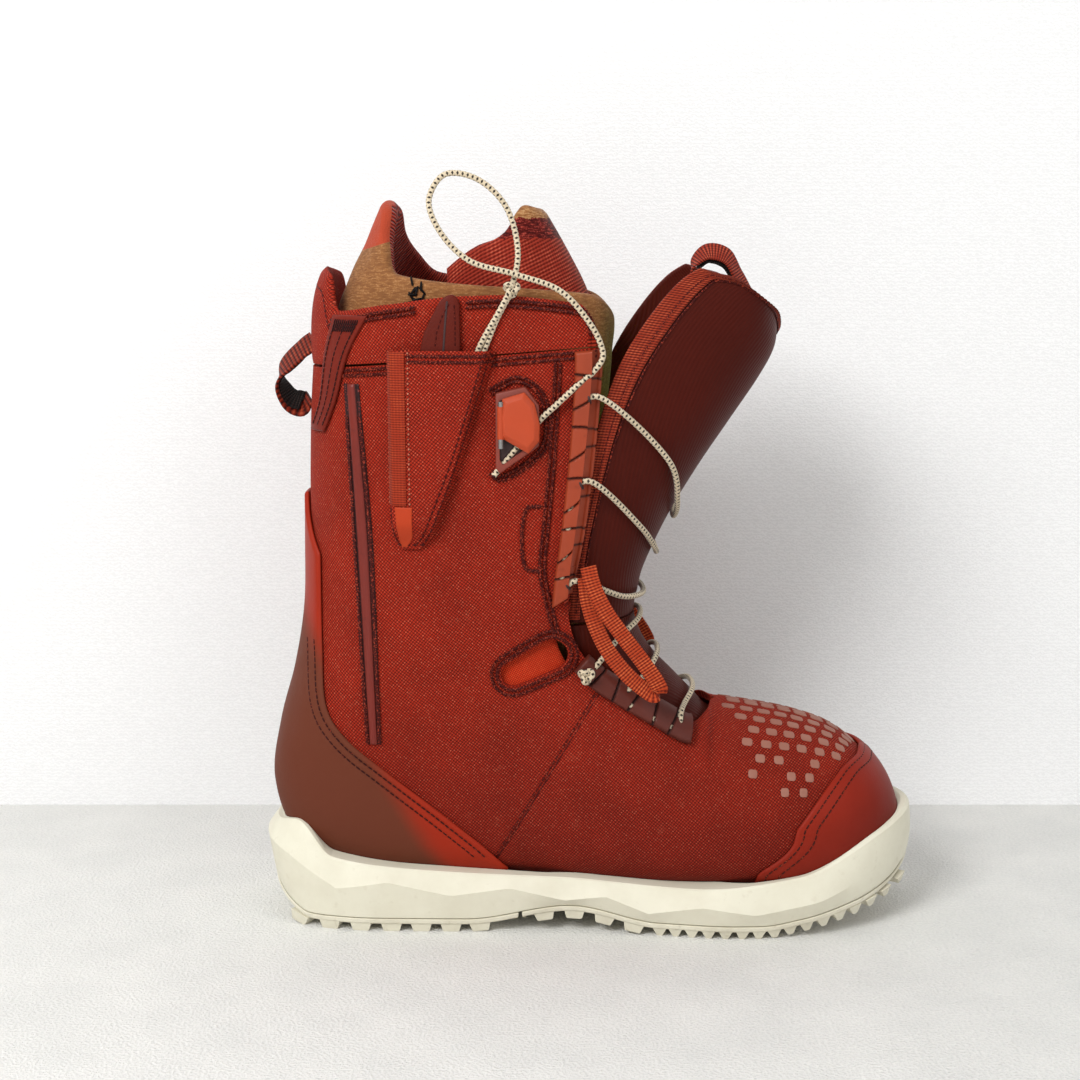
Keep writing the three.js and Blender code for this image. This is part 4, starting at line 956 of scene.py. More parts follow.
# Woven cloth: square crossings of thread, each a small pillow that dips into a dark gap, with light
# glints on the crowns, slow changes of shade, and dust.
woven, given, result = effect(
    "woven cloth",
    {"Vector": "Vector", "Pitch": "Float", "Turn": "Float", "Thread": "Color", "Gap": "Color",
     "Glint": "Color",
     "Glints": "Float", "Dust": "Float"},
    {"Colour": "Color", "Height": "Float"},
)
turned = node(woven, "ShaderNodeVectorRotate", {"Vector": given["Vector"], "Angle": given["Turn"]},
              rotation_type="Z_AXIS").outputs[0]
wave = math_node(woven, "DIVIDE", math.pi, given["Pitch"])
steps = node(woven, "ShaderNodeVectorMath", {0: turned, "Scale": wave}, operation="SCALE").outputs[0]
wobble = node(woven, "ShaderNodeTexNoise", {"Vector": given["Vector"], "Scale": 300, "Detail": 1}).outputs[1]
steps = node(woven, "ShaderNodeVectorMath", {0: wobble, 1: (0.9, 0.9, 0), 2: steps},
             operation="MULTIPLY_ADD").outputs[0]
parts = separate(woven, steps)
crossing_sign = times(woven, math_node(woven, "SINE", parts[0]), math_node(woven, "SINE", parts[1]))
crown = math_node(woven, "POWER", math_node(woven, "ABSOLUTE", crossing_sign), 0.55)
warp_up = math_node(woven, "GREATER_THAN", crossing_sign, 0.0)
fibre_a = noise(woven, drawn_out(woven, turned, (900, 6000, 1)), 1, 1)
fibre_b = noise(woven, drawn_out(woven, turned, (6000, 900, 1)), 1, 1)
fibre = node(woven, "ShaderNodeMix", {0: warp_up, 2: fibre_a, 3: fibre_b}).outputs[0]
blotch = noise(woven, given["Vector"], 38, 4, 0.6)
melange = noise(woven, given["Vector"], 620, 2)
shade = ramp(woven, crown, 0.15, 0.75)
cloth = blend_colours(woven, shade, given["Gap"], given["Thread"])
lift = times_plus(woven, fibre, 0.5, times_plus(woven, blotch, 0.7, 0.42))
cloth = node(woven, "ShaderNodeVectorMath", {0: cloth, "Scale": lift}, operation="SCALE").outputs[0]
top = ramp(woven, crown, 0.80, 0.98)
lucky = ramp(woven, melange, 0.50, 0.66)
glint = times(woven, times(woven, top, lucky), given["Glints"], clamp=True)
cloth = blend_colours(woven, glint, cloth, given["Glint"])
dust = ramp(woven, noise(woven, given["Vector"], 120, 5, 0.75), 0.58, 0.80)
cloth = blend_colours(woven, times(woven, dust, given["Dust"]), cloth, given["Glint"])
woven.links.new(cloth, result.inputs["Colour"])
woven.links.new(times_plus(woven, fibre, 0.2, crown), result.inputs["Height"])


def cloth_finish(name, thread, gap, glint, pitch=0.00135, turn=0.0, glints=0.5, dust=0.15, deep=0.00028,
                 shadow=None, sheen=0.03, source="UV"):
    """shadow is a place and a width in metres: below it the cloth gets darker towards the sole."""
    material, tree, shader = new_material(name, 0.78, sheen=sheen, specular=0.14)
    shader.inputs["Sheen Tint"].default_value = rgb(glint)
    where = node(tree, "ShaderNodeTexCoord").outputs
    out = use(tree, woven, Vector=where[source], Pitch=pitch, Turn=turn, Thread=rgb(thread), Gap=rgb(gap),
              Glint=rgb(glint), Glints=glints, Dust=dust)
    colour = out["Colour"]
    if shadow:
        z = separate(tree, where["Object"])[2]
        deepness = node(tree, "ShaderNodeMapRange",
                        {0: z, 1: shadow[0], 2: shadow[1], 3: 0.45, 4: 0.0}).outputs[0]
        colour = blend_colours(tree, deepness, colour, rgb(gap))
    tree.links.new(colour, shader.inputs["Base Color"])
    relief(tree, shader, out["Height"], deep, 0.9)
    return material


shell_finish = cloth_finish("brick red ballistic cloth", "9C2612", "400B06", "DE7C5E", 0.0012,
                            math.radians(38), 0.62, shadow=(0.03, 0.12))
SHELL_WALL = 3.2
SEAM_U, SEAM_GAP, THROAT_U, YOKE_U = 11.55, 0.03, 7.0, 21.25


def vamp_uv(a, b):
    return 0.35 + (SEAM_U - 0.35) * a, -1 + 2 * b


def near(rows, value):
    """Adds a place to a list of rows."""
    return np.array(sorted(set(rows) | {value}))


throat = (THROAT_U - 0.35) / (SEAM_U - 0.35)
vamp_rows = near(np.linspace(0, 1, 110), throat)
vamp = sheet_on("vamp_cloth", on_skin(upper, vamp_uv), vamp_rows, np.linspace(0, 1, 121), -SHELL_WALL, 0,
                closed_below=throat)
piece(vamp, "boot", shell_finish, ["shell_vamp"])


def slot_outline(a, b, radius_a, radius_b, grow, steps):
    """A slot with two round ends, drawn from the side."""
    heading = math.atan2(b[1] - a[1], b[0] - a[0])
    outline = []
    for (x, z), radius, start in ((b, radius_b, heading - math.pi / 2), (a, radius_a, heading + math.pi / 2)):
        for turn in start + math.pi * np.arange(steps + 1) / steps:
            outline.append((x + (radius + grow) * math.cos(turn), z + (radius + grow) * math.sin(turn)))
    return outline


FLEX_SLOT = ((68, 126.5), (86, 135.5), 6, 7.5)
for label, side in SIDES:
    def quarter_uv(a, b):
        return SEAM_U + SEAM_GAP + (YOKE_U - SEAM_U - SEAM_GAP) * a, side * np.maximum(0.001, b)
    quarter = sheet_on(f"quarter_cloth_{label}", on_skin(upper, quarter_uv), np.linspace(0, 1, 130),
                       np.linspace(0, 1, 90), -SHELL_WALL, 0)
    outline = slot_outline(*FLEX_SLOT, 0, 16)
    prism = [(x, side * y, z) for y in (20, 70) for x, z in outline]
    cut(quarter, body_mesh("slot", prism, tube_faces(2, len(outline))))
    piece(quarter, "boot", shell_finish, [f"shell_quarter_{label}"])

collar_top = steady([(0, 22.6), (0.12, 22.5), (0.2, 21.95), (0.35, 22.1), (0.6, 22.45), (0.85, 22.4),
                     (0.95, 22), (1, 21.6)])


def collar_uv(a, b):
    v = -1 + 2 * b
    return YOKE_U + SEAM_GAP + (collar_top(np.abs(v)) - YOKE_U - SEAM_GAP) * a, v


def collar_puff(a, b):
    """The pull lobe at the back is stuffed, and the rest of the band is only just padded."""
    lobe = np.exp(-((2 * b - 1) / 0.17) ** 2)
    return (0.5 + 2.6 * lobe) * np.sin(np.pi * np.clip(a * 1.04, 0, 1)) ** 0.7


collar_rows = spaced(34, 26, 0, 4)
collar = sheet_on("collar_band_cloth", on_skin(upper, collar_uv), collar_rows, np.linspace(0, 1, 221),
                  lambda a, b: -SHELL_WALL - 1.6 * np.exp(-((2 * b - 1) / 0.16) ** 2)
                  * np.sin(np.pi * np.clip(a, 0, 1)) ** 0.7,
                  lambda a, b: collar_puff(a, b) * 0.8, (0, 3.5, 0, 0))
piece(collar, "boot", shell_finish, ["collar_band"])

# ============================================================================ seams and stitched edges
# Bonded nylon thread in lock stitches, single or in twin rows. Round the cut edges of the cloth runs a
# denser dark-red cord stitch, two rows wide, that glitters a little.


def skin_line(u, v, lift, step):
    u, v = np.broadcast_arrays(np.asarray(u, float), np.asarray(v, float))
    n = upper.normal(u, v)
    return line_of(upper.point(u, v) + n * lift, n, step)


def side_line(points, side, step, lift=0.25):
    """A line drawn from the side on the upper: its points, directions and normals."""
    path = smooth_path([(x, 0, z) for x, z in points], step)
    return skin_line(*upper.place(path[:, 0], path[:, 2], side), lift, step)


def line_of(p, n, step):
    """Evenly spaced points along a line, with directions and normals."""
    walked = walked_along(p)
    at = np.linspace(0, walked[-1], max(3, int(round(walked[-1] / step)) + 1))
    p = np.stack([np.interp(at, walked, p[:, k]) for k in range(3)], -1)
    n = unit(np.stack([np.interp(at, walked, n[:, k]) for k in range(3)], -1))
    return p, unit(np.gradient(p, axis=0)), n


def beside(line, distance):
    p, t, n = line
    return p + np.cross(n, t) * distance, t, n


def capsule(name, segments=6, rings=5):
    """A stitch of unit length, width and height, lying along X with its foot at z 0."""
    points = []
    for i in range(rings + 1):
        angle = math.pi * i / rings
        x = -0.5 * math.copysign(abs(math.cos(angle)) ** 0.6, math.cos(angle))
        radius = math.sin(angle) ** 0.6 if 0 < i < rings else 0.12
        for j in range(segments):
            turn = 2 * math.pi * j / segments
            points.append((x, 0.5 * radius * math.cos(turn), 0.5 + 0.5 * radius * math.sin(turn)))
    return pattern_shape(name, points, tube_faces(rings + 1, segments))


stitch_shape = capsule("stitch")

thread, given, result = effect(
    "sewing thread",
    {"Vector": "Vector", "Dark": "Color", "Light": "Color", "Share": "Float"},
    {"Colour": "Color", "Height": "Float"},
)
ply = noise(thread, given["Vector"], 1500, 2)
which = noise(thread, given["Vector"], 1300, 1)
edge = math_node(thread, "SUBTRACT", 0.78, times(thread, given["Share"], 0.55))
picked = ramp(thread, which, edge, math_node(thread, "ADD", edge, 0.07))
colour = blend_colours(thread, picked, given["Dark"], given["Light"])
thread.links.new(blend_colours(thread, times(thread, ply, 0.5), colour, given["Dark"]),
                 result.inputs["Colour"])
thread.links.new(ply, result.inputs["Height"])


def thread_finish(name, dark, light, share=0.3, roughness=0.5):
    material, tree, shader = new_material(name, roughness, specular=0.12)
    place = object_place(tree)
    out = use(tree, thread, Vector=place, Dark=rgb(dark), Light=rgb(light), Share=share)
    dressed(tree, shader, out, 0.0002, 0.6)
    return material


seam_thread = thread_finish("dark red seam thread", "4A0E0A", "A04432", 0.35)
# The edge cord's light specks are painted highlights, its glitter.
edge_thread = thread_finish("glittering maroon edge cord", "3C0906", "9C3A26", 0.42, 0.5)


def stitched(name, lines, size, finish, lean=0.0, body="boot"):
    """One stitch at every point of the lines, turned by lean degrees in the plane of the cloth."""
    points, along, up = [], [], []
    for p, t, n in lines:
        points.append(p)
        along.append(t * math.cos(math.radians(lean)) + np.cross(n, t) * math.sin(math.radians(lean)))
        up.append(n)
    points, along, up = map(np.concatenate, (points, along, up))
    made = set_out(name, stitch_shape, points, along, up, size, finish)
    return piece(made, body, finish, sharp=60)


def edge_cord(name, lines, width):
    """Two rows of slanted stitches side by side, like a cord laid along a cut edge."""
    twin = [beside(line, off) for line in lines for off in (-width / 2, width / 2)]
    return stitched(name, twin, (2.4, 1.15, 0.9), edge_thread, 35)


SEAM_PITCH, SEAM_STITCH = 3.1, (2.5, 0.7, 0.55)
CORD_PITCH = 1.45

# The vamp seam: the quarter laps over the vamp in a thin raised edge, with one row of stitches behind it.
vamp_seam = [skin_line(SEAM_U, side * np.linspace(0.30, 0.93, 60), 0.15, SEAM_PITCH)
             for side in (LATERAL, MEDIAL)]
stitched("vamp_seam_stitches", [beside(line, -1.9 * side)
                                for line, side in zip(vamp_seam, (LATERAL, MEDIAL))], SEAM_STITCH,
                                seam_thread)
stitched("vamp_seam_piping", [skin_line(SEAM_U + 0.015, side * np.linspace(0.28, 0.95, 60), -0.45, 1.2)
                              for side in (LATERAL, MEDIAL)],
         (1.5, 0.75, 0.6), seam_thread)
yoke = [skin_line(YOKE_U, side * np.linspace(0.16, 0.965, 90), 0.1, CORD_PITCH) for side in (LATERAL, MEDIAL)]
edge_cord("yoke_edge_cord", [beside(line, 2.8 * side) for line, side in zip(yoke, (LATERAL, MEDIAL))], 2.4)
rim = [skin_line(collar_top(np.abs(v)) - 0.16 - 0.1 * np.exp(-(v / 0.15) ** 2), v, 0.9, CORD_PITCH)
       for v in (np.linspace(-0.985, -0.19, 120), np.linspace(0.19, 0.985, 120))]
clear_of_handle = []
for p, t, n in rim:
    # The pull handles slide over the rim, so the cord stops beside them.
    hidden = (p[:, 0] > 24.5) & (p[:, 0] < 47.5)
    for part in np.split(np.arange(len(p)), np.flatnonzero(np.diff(hidden.astype(int))) + 1):
        if not hidden[part[0]] and len(part) > 3:
            clear_of_handle.append((p[part], t[part], n[part]))
edge_cord("collar_edge_cord", clear_of_handle, 2.3)
v = np.linspace(-0.19, 0.19, 60)
stitched("lobe_stitches", [skin_line(collar_top(np.abs(v)) - 0.30, v, 1.2, 2.6)], (2.0, 0.7, 0.6),
         seam_thread)
throat_edge = [side_line([(88.5, 272), (87.3, 250), (85.2, 220), (83, 196), (81.5, 176), (84.5, 160),
                          (88, 146)], side, CORD_PITCH)
               for side in (LATERAL, MEDIAL)]
edge_cord("throat_edge_cord", throat_edge, 2.2)
tab_border = [side_line([(80.5, 207), (74.5, 206), (74, 178), (80, 176.5)], side, CORD_PITCH)
              for side in (LATERAL, MEDIAL)]
stitched("rail_tab_border", tab_border, (2.7, 1.3, 1.0), edge_thread, 35)

# The bending slot at the ankle shows a bright orange suede underlay, and has a cord-stitched edge.
suede_finish = cloth_finish("orange brushed suede", "BE3414", "6E1408", "E8744A", 0.0009, 0.5, 0.5, 0.1,
                            0.0002, sheen=0.5)
for label, side in SIDES:
    def underlay_uv(a, b):
        u = 12.3 + 2.0 * a
        return u, side * upper.behind_edge(u, 9 + 41 * b)
    under = sheet_on(f"flex_suede_{label}", on_skin(upper, underlay_uv), np.linspace(0, 1, 40),
                     np.linspace(0, 1, 50),
                     -SHELL_WALL - 2.0, lambda a, b: -SHELL_WALL - 0.5 + 1.9 * np.sin(np.pi * a)
                     * np.sin(np.pi * b), (2, 2, 2, 2))
    piece(under, "boot", suede_finish, [f"flex_underlay_{label}"])


slot_loop = slot_outline(*FLEX_SLOT, 3.0, 8)
slot_loop.append(slot_loop[0])
edge_cord("flex_slot_cord", [side_line(slot_loop, side, CORD_PITCH) for side in (LATERAL, MEDIAL)], 2.6)

# ==================================================================================== coated overlays
# The toe cap and heel counter are thermoformed from smooth coated synthetic leather, 1.7 mm thick,
# with rolled edges and twin rows of dark stitches. The counter fades to brown where it meets the heel.

coated, given, result = effect(
    "coated leather",
    {"Vector": "Vector", "Colour": "Color", "Worn": "Color", "Fade": "Float", "Grain": "Float"},
    {"Colour": "Color", "Height": "Float", "Roughness": "Float"},
)
pores = node(coated, "ShaderNodeTexVoronoi", {"Vector": given["Vector"], "Scale": given["Grain"]}).outputs[0]
fine = noise(coated, given["Vector"], 1600, 2)
cloud = noise(coated, given["Vector"], 22, 5, 0.6)
spots = ramp(coated, noise(coated, given["Vector"], 170, 5, 0.7), 0.62, 0.72)
tone = node(coated, "ShaderNodeVectorMath",
            {0: given["Colour"], "Scale": times_plus(coated, cloud, 0.45, 0.78)},
            operation="SCALE").outputs[0]
# The fade colour goes to scattered spots and, through Fade, to the heel counter's brown and to the toe cap's
# painted shade.
fade = math_node(coated, "ADD", given["Fade"], times(coated, spots, 0.10), clamp=True)
coated.links.new(blend_colours(coated, fade, tone, given["Worn"]), result.inputs["Colour"])
coated.links.new(times_plus(coated, pores, 0.5, times(coated, fine, 0.5)), result.inputs["Height"])
coated.links.new(times_plus(coated, cloud, 0.25, times_plus(coated, fade, 0.15, 0.36)),
                 result.inputs["Roughness"])


def coated_finish(name, colour, fade_colour, fade=None, grain=700.0, deep=0.00012):
    """fade is two places, x and z in metres: towards the second the coating turns to its fade colour, which
    also colours scattered spots.
    """
    material, tree, shader = new_material(name, 0.55, specular=0.14)
    place = object_place(tree)
    faded = 0.0
    if fade:
        (x0, z0), (x1, z1) = fade
        span = (x1 - x0) ** 2 + (z1 - z0) ** 2
        lean = node(tree, "ShaderNodeVectorMath", {0: place, 1: ((x1 - x0) / span, 0, (z1 - z0) / span)},
                    operation="DOT_PRODUCT").outputs["Value"]
        ragged = noise(tree, place, 38, 3)
        lean = times_plus(tree, ragged, 0.35,
                          math_node(tree, "ADD", lean, -0.175 - (x0 * (x1 - x0) + z0 * (z1 - z0)) / span))
        faded = node(tree, "ShaderNodeMapRange", {0: lean, 1: 0.0, 2: 1.0},
                     interpolation_type="SMOOTHSTEP").outputs[0]
    out = use(tree, coated, Vector=place, Colour=rgb(colour), Worn=rgb(fade_colour), Fade=faded, Grain=grain)
    dressed(tree, shader, out, deep, 0.5)
    return material


# The toe cap turns darker towards its lower front by the sole: painted shade.
toe_finish = coated_finish("toe cap coating", "86200E", "5A140A", ((0.235, 0.08), (0.262, 0.03)))
heel_finish = coated_finish("heel counter coating", "92250F", "62301F", ((0.0072, 0.0934), (-0.0052, 0.0866)))

cap_edge = steady([(0, 6.15), (0.35, 6.05), (0.5, 5.2), (0.7, 4.1), (0.85, 3.3), (1, 3)])
CAP_TOP = UPPER_GAP + UPPER_OVERLAY


def cap_uv(a, b):
    v = -1 + 2 * b
    return 0.2 + (cap_edge(np.abs(v)) - 0.2) * a, v


cap_rows = spaced(90, 75, 0, 1.8)
cap = sheet_on("toe_cap_shell", on_skin(upper, cap_uv), cap_rows, np.linspace(0, 1, 161),
               0.25, lambda a, b: CAP_TOP - 0.9 * np.clip((a - 0.86) / 0.14, 0, 1) ** 2, (0, 1.8, 0, 0),
               closed_below=1.0)
piece(cap, "boot", toe_finish, ["toe_cap"], sharp=40)

edge_list = [(65.2, 30), (54.3, 41), (36.5, 56.2), (8.9, 78.8), (-11, 95.8), (-19.2, 108.3), (-21.6, 139),
             (-22, 181)]
drawn = smooth_path([(x, 0, z) for x, z in edge_list], 1.5)
edge_u, edge_v = upper.place(drawn[:, 0], drawn[:, 2], MEDIAL)
counter_low = float(edge_u[0])
order = np.argsort(edge_u)
edge_u, edge_v = np.append(edge_u[order], 19.6), np.append(edge_v[order], 0.03)


def counter_reach(u):
    return np.interp(u, edge_u, edge_v)


def counter_uv(a, b):
    u = counter_low + (19.6 - counter_low) * a
    return u, (2 * b - 1) * counter_reach(u)


counter = sheet_on("heel_counter_shell", on_skin(upper, counter_uv), spaced(130, 170, 0, 2),
                   spaced(110, 150, 1.8, 1.8),
                   0.25, lambda a, b: CAP_TOP - 0.7 * np.clip((np.abs(2 * b - 1) - 0.86) / 0.14, 0, 1) ** 2,
                   (0, 2, 1.8, 1.8))
piece(counter, "boot", heel_finish, ["heel_counter"], sharp=40)

cap_lines = []
for side in (LATERAL, MEDIAL):
    v = np.linspace(0.999, 0.26, 160)
    for back in (0.17, 0.46):
        cap_lines.append(skin_line(cap_edge(v) - back, side * v,
                                   CAP_TOP - 0.35 - (0.45 if back < 0.2 else 0.0), 2.9))
stitched("toe_cap_stitches", cap_lines, (2.4, 0.8, 0.6),
         thread_finish("toe stitch thread", "38100A", "9A4026", 0.3))
counter_lines = []
for side in (LATERAL, MEDIAL):
    path = smooth_path([(x, 0, z) for x, z in edge_list[:-1]], 2)
    for inward in (2.6, 6.2):
        t = unit(np.gradient(path, axis=0))
        moved = path + np.stack([-t[:, 2], 0 * t[:, 0], t[:, 0]], -1) * inward
        moved = moved[moved[:, 2] > 38]
        counter_lines.append(side_line(moved[:, [0, 2]], side, 2.9, CAP_TOP - 0.3))
stitched("counter_stitches", counter_lines, (2.4, 0.8, 0.6), thread_finish("counter stitch thread", "300B08",
        "8E3626", 0.25))

# The toe print: pale rose dots under the cap of the instep that grow to long hexagons on top of the toe,
# a film of soft ink 0.2 mm thick.


def hexagon(name):
    """A flat lozenge with cut corners, of unit length, width and height."""
    outline = [(-0.5, -0.2), (-0.45, -0.38), (-0.32, -0.5), (0.32, -0.5), (0.45, -0.38), (0.5, -0.2),
               (0.5, 0.2), (0.45, 0.38), (0.32, 0.5), (-0.32, 0.5), (-0.45, 0.38), (-0.5, 0.2)]
    points = [(x * grow, y * grow, z) for z, grow in ((-0.8, 1), (0.6, 1), (1, 0.9)) for x, y in outline]
    return pattern_shape(name, points, tube_faces(3, len(outline)))


print_shape = hexagon("print")
print_finish = moulded_finish("rose print", "94604F", "7A4034", 0.4, 1800, 0.00008)
dots, run, up, stretch = [], [], [], []
for side in (LATERAL, MEDIAL):
    for row in range(8):
        # Each row is lower down the side, and its dots are smaller, squarer and further apart.
        drop = row / 7
        v = side * (0.985 - 0.052 * row)
        pitch = 8.0 + 0.8 * drop
        for column in range(11):
            x = 160 + pitch * (column + (0.5 if row % 2 else 0)) + 5.0 * drop
            u = float(np.interp(x, [166.5, 186, 205, 223, 237, 247], [7, 6, 5, 4, 3, 2]))
            limit = cap_edge(abs(v)) + 0.26
            if u < limit or u > 6.9 - 0.75 * drop or (row > 4 and (column + row) % 3 == 0):
                continue
            p, n = upper.point(u, v), upper.normal(u, v)
            dots.append(p + n * 0.12)
            run.append(upper.point(u - 0.05, v) - p)
            up.append(n)
            stretch.append((1.0 - 0.42 * drop, 1.0 - 0.10 * drop, 1))
made = set_out("toe_print", print_shape, np.array(dots), np.array(run), np.array(up), (6.6, 4.6, 0.22),
               print_finish, np.array(stretch))
piece(made, "boot", print_finish, sharp=40)

# ====================================================================================== the tongue
# A foam-backed tongue with a smooth coated face in dark maroon, hinged by a narrow neck at the instep.
# Its edge is bound with ribbed grosgrain, its inside has a lime-green patch, and a loop sits on top.

tongue_finish, tree, shader = new_material("maroon tongue coating", 0.55, specular=0.10, sheen=0.04)
shader.inputs["Sheen Tint"].default_value = rgb("E06A50")
where = node(tree, "ShaderNodeTexCoord").outputs
out = use(tree, coated, Vector=where["Object"], Colour=rgb("461006"), Worn=rgb("62200F"), Fade=0.0,
          Grain=900.0)
across = separate(tree, where["UV"])[0]
drift = noise(tree, where["Object"], 60, 2)
line = math_node(tree, "SINE", times_plus(tree, drift, 1.2, times(tree, across, 2 * math.pi / 0.0021)))
ribbed = times_plus(tree, line, 0.35, times(tree, out["Height"], 0.5))
stripe = times_plus(tree, line, 0.10, 0.10)
tree.links.new(blend_colours(tree, stripe, out["Colour"], rgb("2A0705")), shader.inputs["Base Color"])
tree.links.new(out["Roughness"], shader.inputs["Roughness"])
relief(tree, shader, ribbed, 0.00022, 0.7)
TONGUE_WALL, NECK_U, SPLIT, TONGUE_TOP_U = 2.4, 6, 0.08, 14


def round_front(reach, b):
    return np.where(b < 0.5, -1, 1) * (1 - reach * np.abs(2 * b - 1))


def tongue_top(v):
    """The top edge, rounded off at the front."""
    reach = np.abs(v)
    bulge = 0.34 * np.sin(np.pi * np.clip((reach - 0.5) / 0.5, 0, 1))
    middle_dip = 0.36 * np.exp(-((1 - reach) / 0.12) ** 2)
    corner_dip = 0.45 * np.exp(-((reach - 0.5) / 0.07) ** 2)
    return TONGUE_TOP_U + bulge - middle_dip - corner_dip


def tongue_part(name, low, high, inner, outer, reach, rolled, rows=60, columns=90, cloth=False):
    return sheet_on(name, on_skin(tongue, lambda a, b: (low + (high(round_front(reach, b)) - low) * a,
            round_front(reach, b)), cloth),
                    spaced(rows, 150, *rolled[:2]), spaced(columns, 130, *rolled[2:]), inner, outer, rolled)


lower = tongue_part("tongue_neck_coating", 0, lambda v: NECK_U, -TONGUE_WALL, 0, 0.5, (0, 0, 1.2, 1.2))
piece(lower, "boot", tongue_finish, ["tongue_lower"])
face = tongue_part("tongue_coating", NECK_U + SPLIT, tongue_top, -TONGUE_WALL, 0, 0.5, (0, 1.2, 1.2, 1.2), 90)
piece(face, "tongue", tongue_finish, ["tongue_upper"])

# Grosgrain and nylon webbing: tight ribs across the run of the tape, with painted shade in the troughs and
# painted highlights on the crests.
taped, given, result = effect(
    "ribbed tape",
    {"Vector": "Vector", "Rib": "Float", "Colour": "Color", "Gap": "Color", "Glint": "Color"},
    {"Colour": "Color", "Height": "Float"},
)
parts = separate(taped, given["Vector"])
wave = math_node(taped, "DIVIDE", 2 * math.pi, given["Rib"])
jitter = noise(taped, given["Vector"], 500, 2)
rib = math_node(taped, "SINE", times_plus(taped, parts[1], wave, times(taped, jitter, 1.4)))
chain = math_node(taped, "SINE", times(taped, parts[0], times(taped, wave, 0.8)))
height = times_plus(taped, rib, 0.38, times_plus(taped, chain, 0.12, 0.5))
blotch = noise(taped, given["Vector"], 120, 3)
# Painted shade: the troughs between the ribs take the gap colour. Painted highlight: the crests take the
# glint colour in blotches.
tone = blend_colours(taped, ramp(taped, height, 0.1, 0.6), given["Gap"], given["Colour"])
bright = times(taped, ramp(taped, height, 0.7, 0.95),
                   ramp(taped, blotch, 0.40, 0.7))
taped.links.new(blend_colours(taped, bright, tone, given["Glint"]), result.inputs["Colour"])
taped.links.new(height, result.inputs["Height"])


def tape_finish(name, colour, gap, glint, rib=0.0009, deep=0.0003, sheen=0.03):
    material, tree, shader = new_material(name, 0.7, sheen=sheen, specular=0.15)
    uv = node(tree, "ShaderNodeTexCoord").outputs["UV"]
    out = use(tree, taped, Vector=uv, Rib=rib, Colour=rgb(colour), Gap=rgb(gap), Glint=rgb(glint))
    dressed(tree, shader, out, deep, 0.9)
    return material


binding_finish = tape_finish("brick grosgrain", "8E2E18", "4A100A", "C4603E", 0.0013)
orange_tape = tape_finish("orange webbing", "A83A18", "5E160A", "DC7A48", 0.0014)
red_tape = tape_finish("red webbing", "8E2A18", "40100A", "CC6E4E", 0.0013)
black_tape = tape_finish("black webbing", "1C1412", "0A0808", "4A3A34", 0.0013)


def binding_uv(a, b, wing=0.5, tape=0.040, top=0.27):
    low = NECK_U + SPLIT + 0.1

    def ring(drop, reach):
        v = np.where(a < 0.35, -(1 - reach),
                     np.where(a > 0.65, 1 - reach, round_front(reach, np.clip((a - 0.35) / 0.3, 0, 1))))
        high = tongue_top(v) - drop
        u = np.where(a < 0.35, low + (high - low) * a / 0.35,
                     np.where(a > 0.65, high + (low - high) * (a - 0.65) / 0.35, high))
        return u, v
    u0, v0 = ring(0, wing)
    u1, v1 = ring(top, wing - tape)
    return u0 + (u1 - u0) * b, v0 + (v1 - v0) * b


binding = sheet_on("tongue_binding_tape", on_skin(tongue, binding_uv, False), np.linspace(0, 1, 260),
                   spaced(8, 9, 1.2, 1.2), -0.2, 1.5, (0, 0, 1.4, 1.0))
piece(binding, "tongue", binding_finish, ["tongue_binding"])
a = np.linspace(0.01, 0.99, 400)
for name, b, size, finish, pitch in (("binding_seam", 1.14, (2.4, 1.0, 0.7), edge_thread, 2.0),
                                     ("binding_stitches", 0.62, (2.2, 0.6, 0.5), seam_thread, 2.8)):
    u, v = binding_uv(a, np.full(a.shape, b))
    n = tongue.normal(u, v)
    lift = 0.1 if b > 1 else 1.35
    stitched(name, [line_of(tongue.point(u, v) + n * lift, n, pitch)], size, finish, body="tongue")

lime_finish = cloth_finish("lime green lining", "9BE61E", "4C8A0C", "D8FF7A", 0.0012, 0.4, 0.5, 0.08)
LINING_OUT = -TONGUE_WALL - 0.8
lining = tongue_part("lime_lining_patch", 9.5, lambda v: 13.5 - 0.5 * np.exp(-((1 - np.abs(v)) / 0.1) ** 2),
                     LINING_OUT - 0.8, LINING_OUT, 0.44, (0.8, 0.8, 0.8, 0.8), 40, 60, True)
piece(lining, "tongue", lime_finish, ["tongue_lining"])


def strap(name, path, wide, width, thickness, around=20):
    """A tape swept along a path. wide is the direction of its width, one for all or one for each point."""
    tangent = unit(np.gradient(path, axis=0))
    wide = np.broadcast_to(np.asarray(wide, float), path.shape)
    across = unit(wide - tangent * np.sum(wide * tangent, -1, keepdims=True))
    out = np.cross(tangent, across)
    angle = np.arange(around) / around * 2 * np.pi
    square = lambda f, power: np.sign(f) * np.abs(f) ** power
    w, h = square(np.cos(angle), 0.35) * width / 2, square(np.sin(angle), 0.5) * thickness / 2
    points = path[:, None] + w[None, :, None] * across[:, None] + h[None, :, None] * out[:, None]
    uv = np.stack(np.broadcast_arrays(w[None, :], walked_along(path)[:, None]), -1).reshape(-1, 2) * 0.001
    return body_mesh(name, points.reshape(-1, 3), tube_faces(len(path), around), uv)


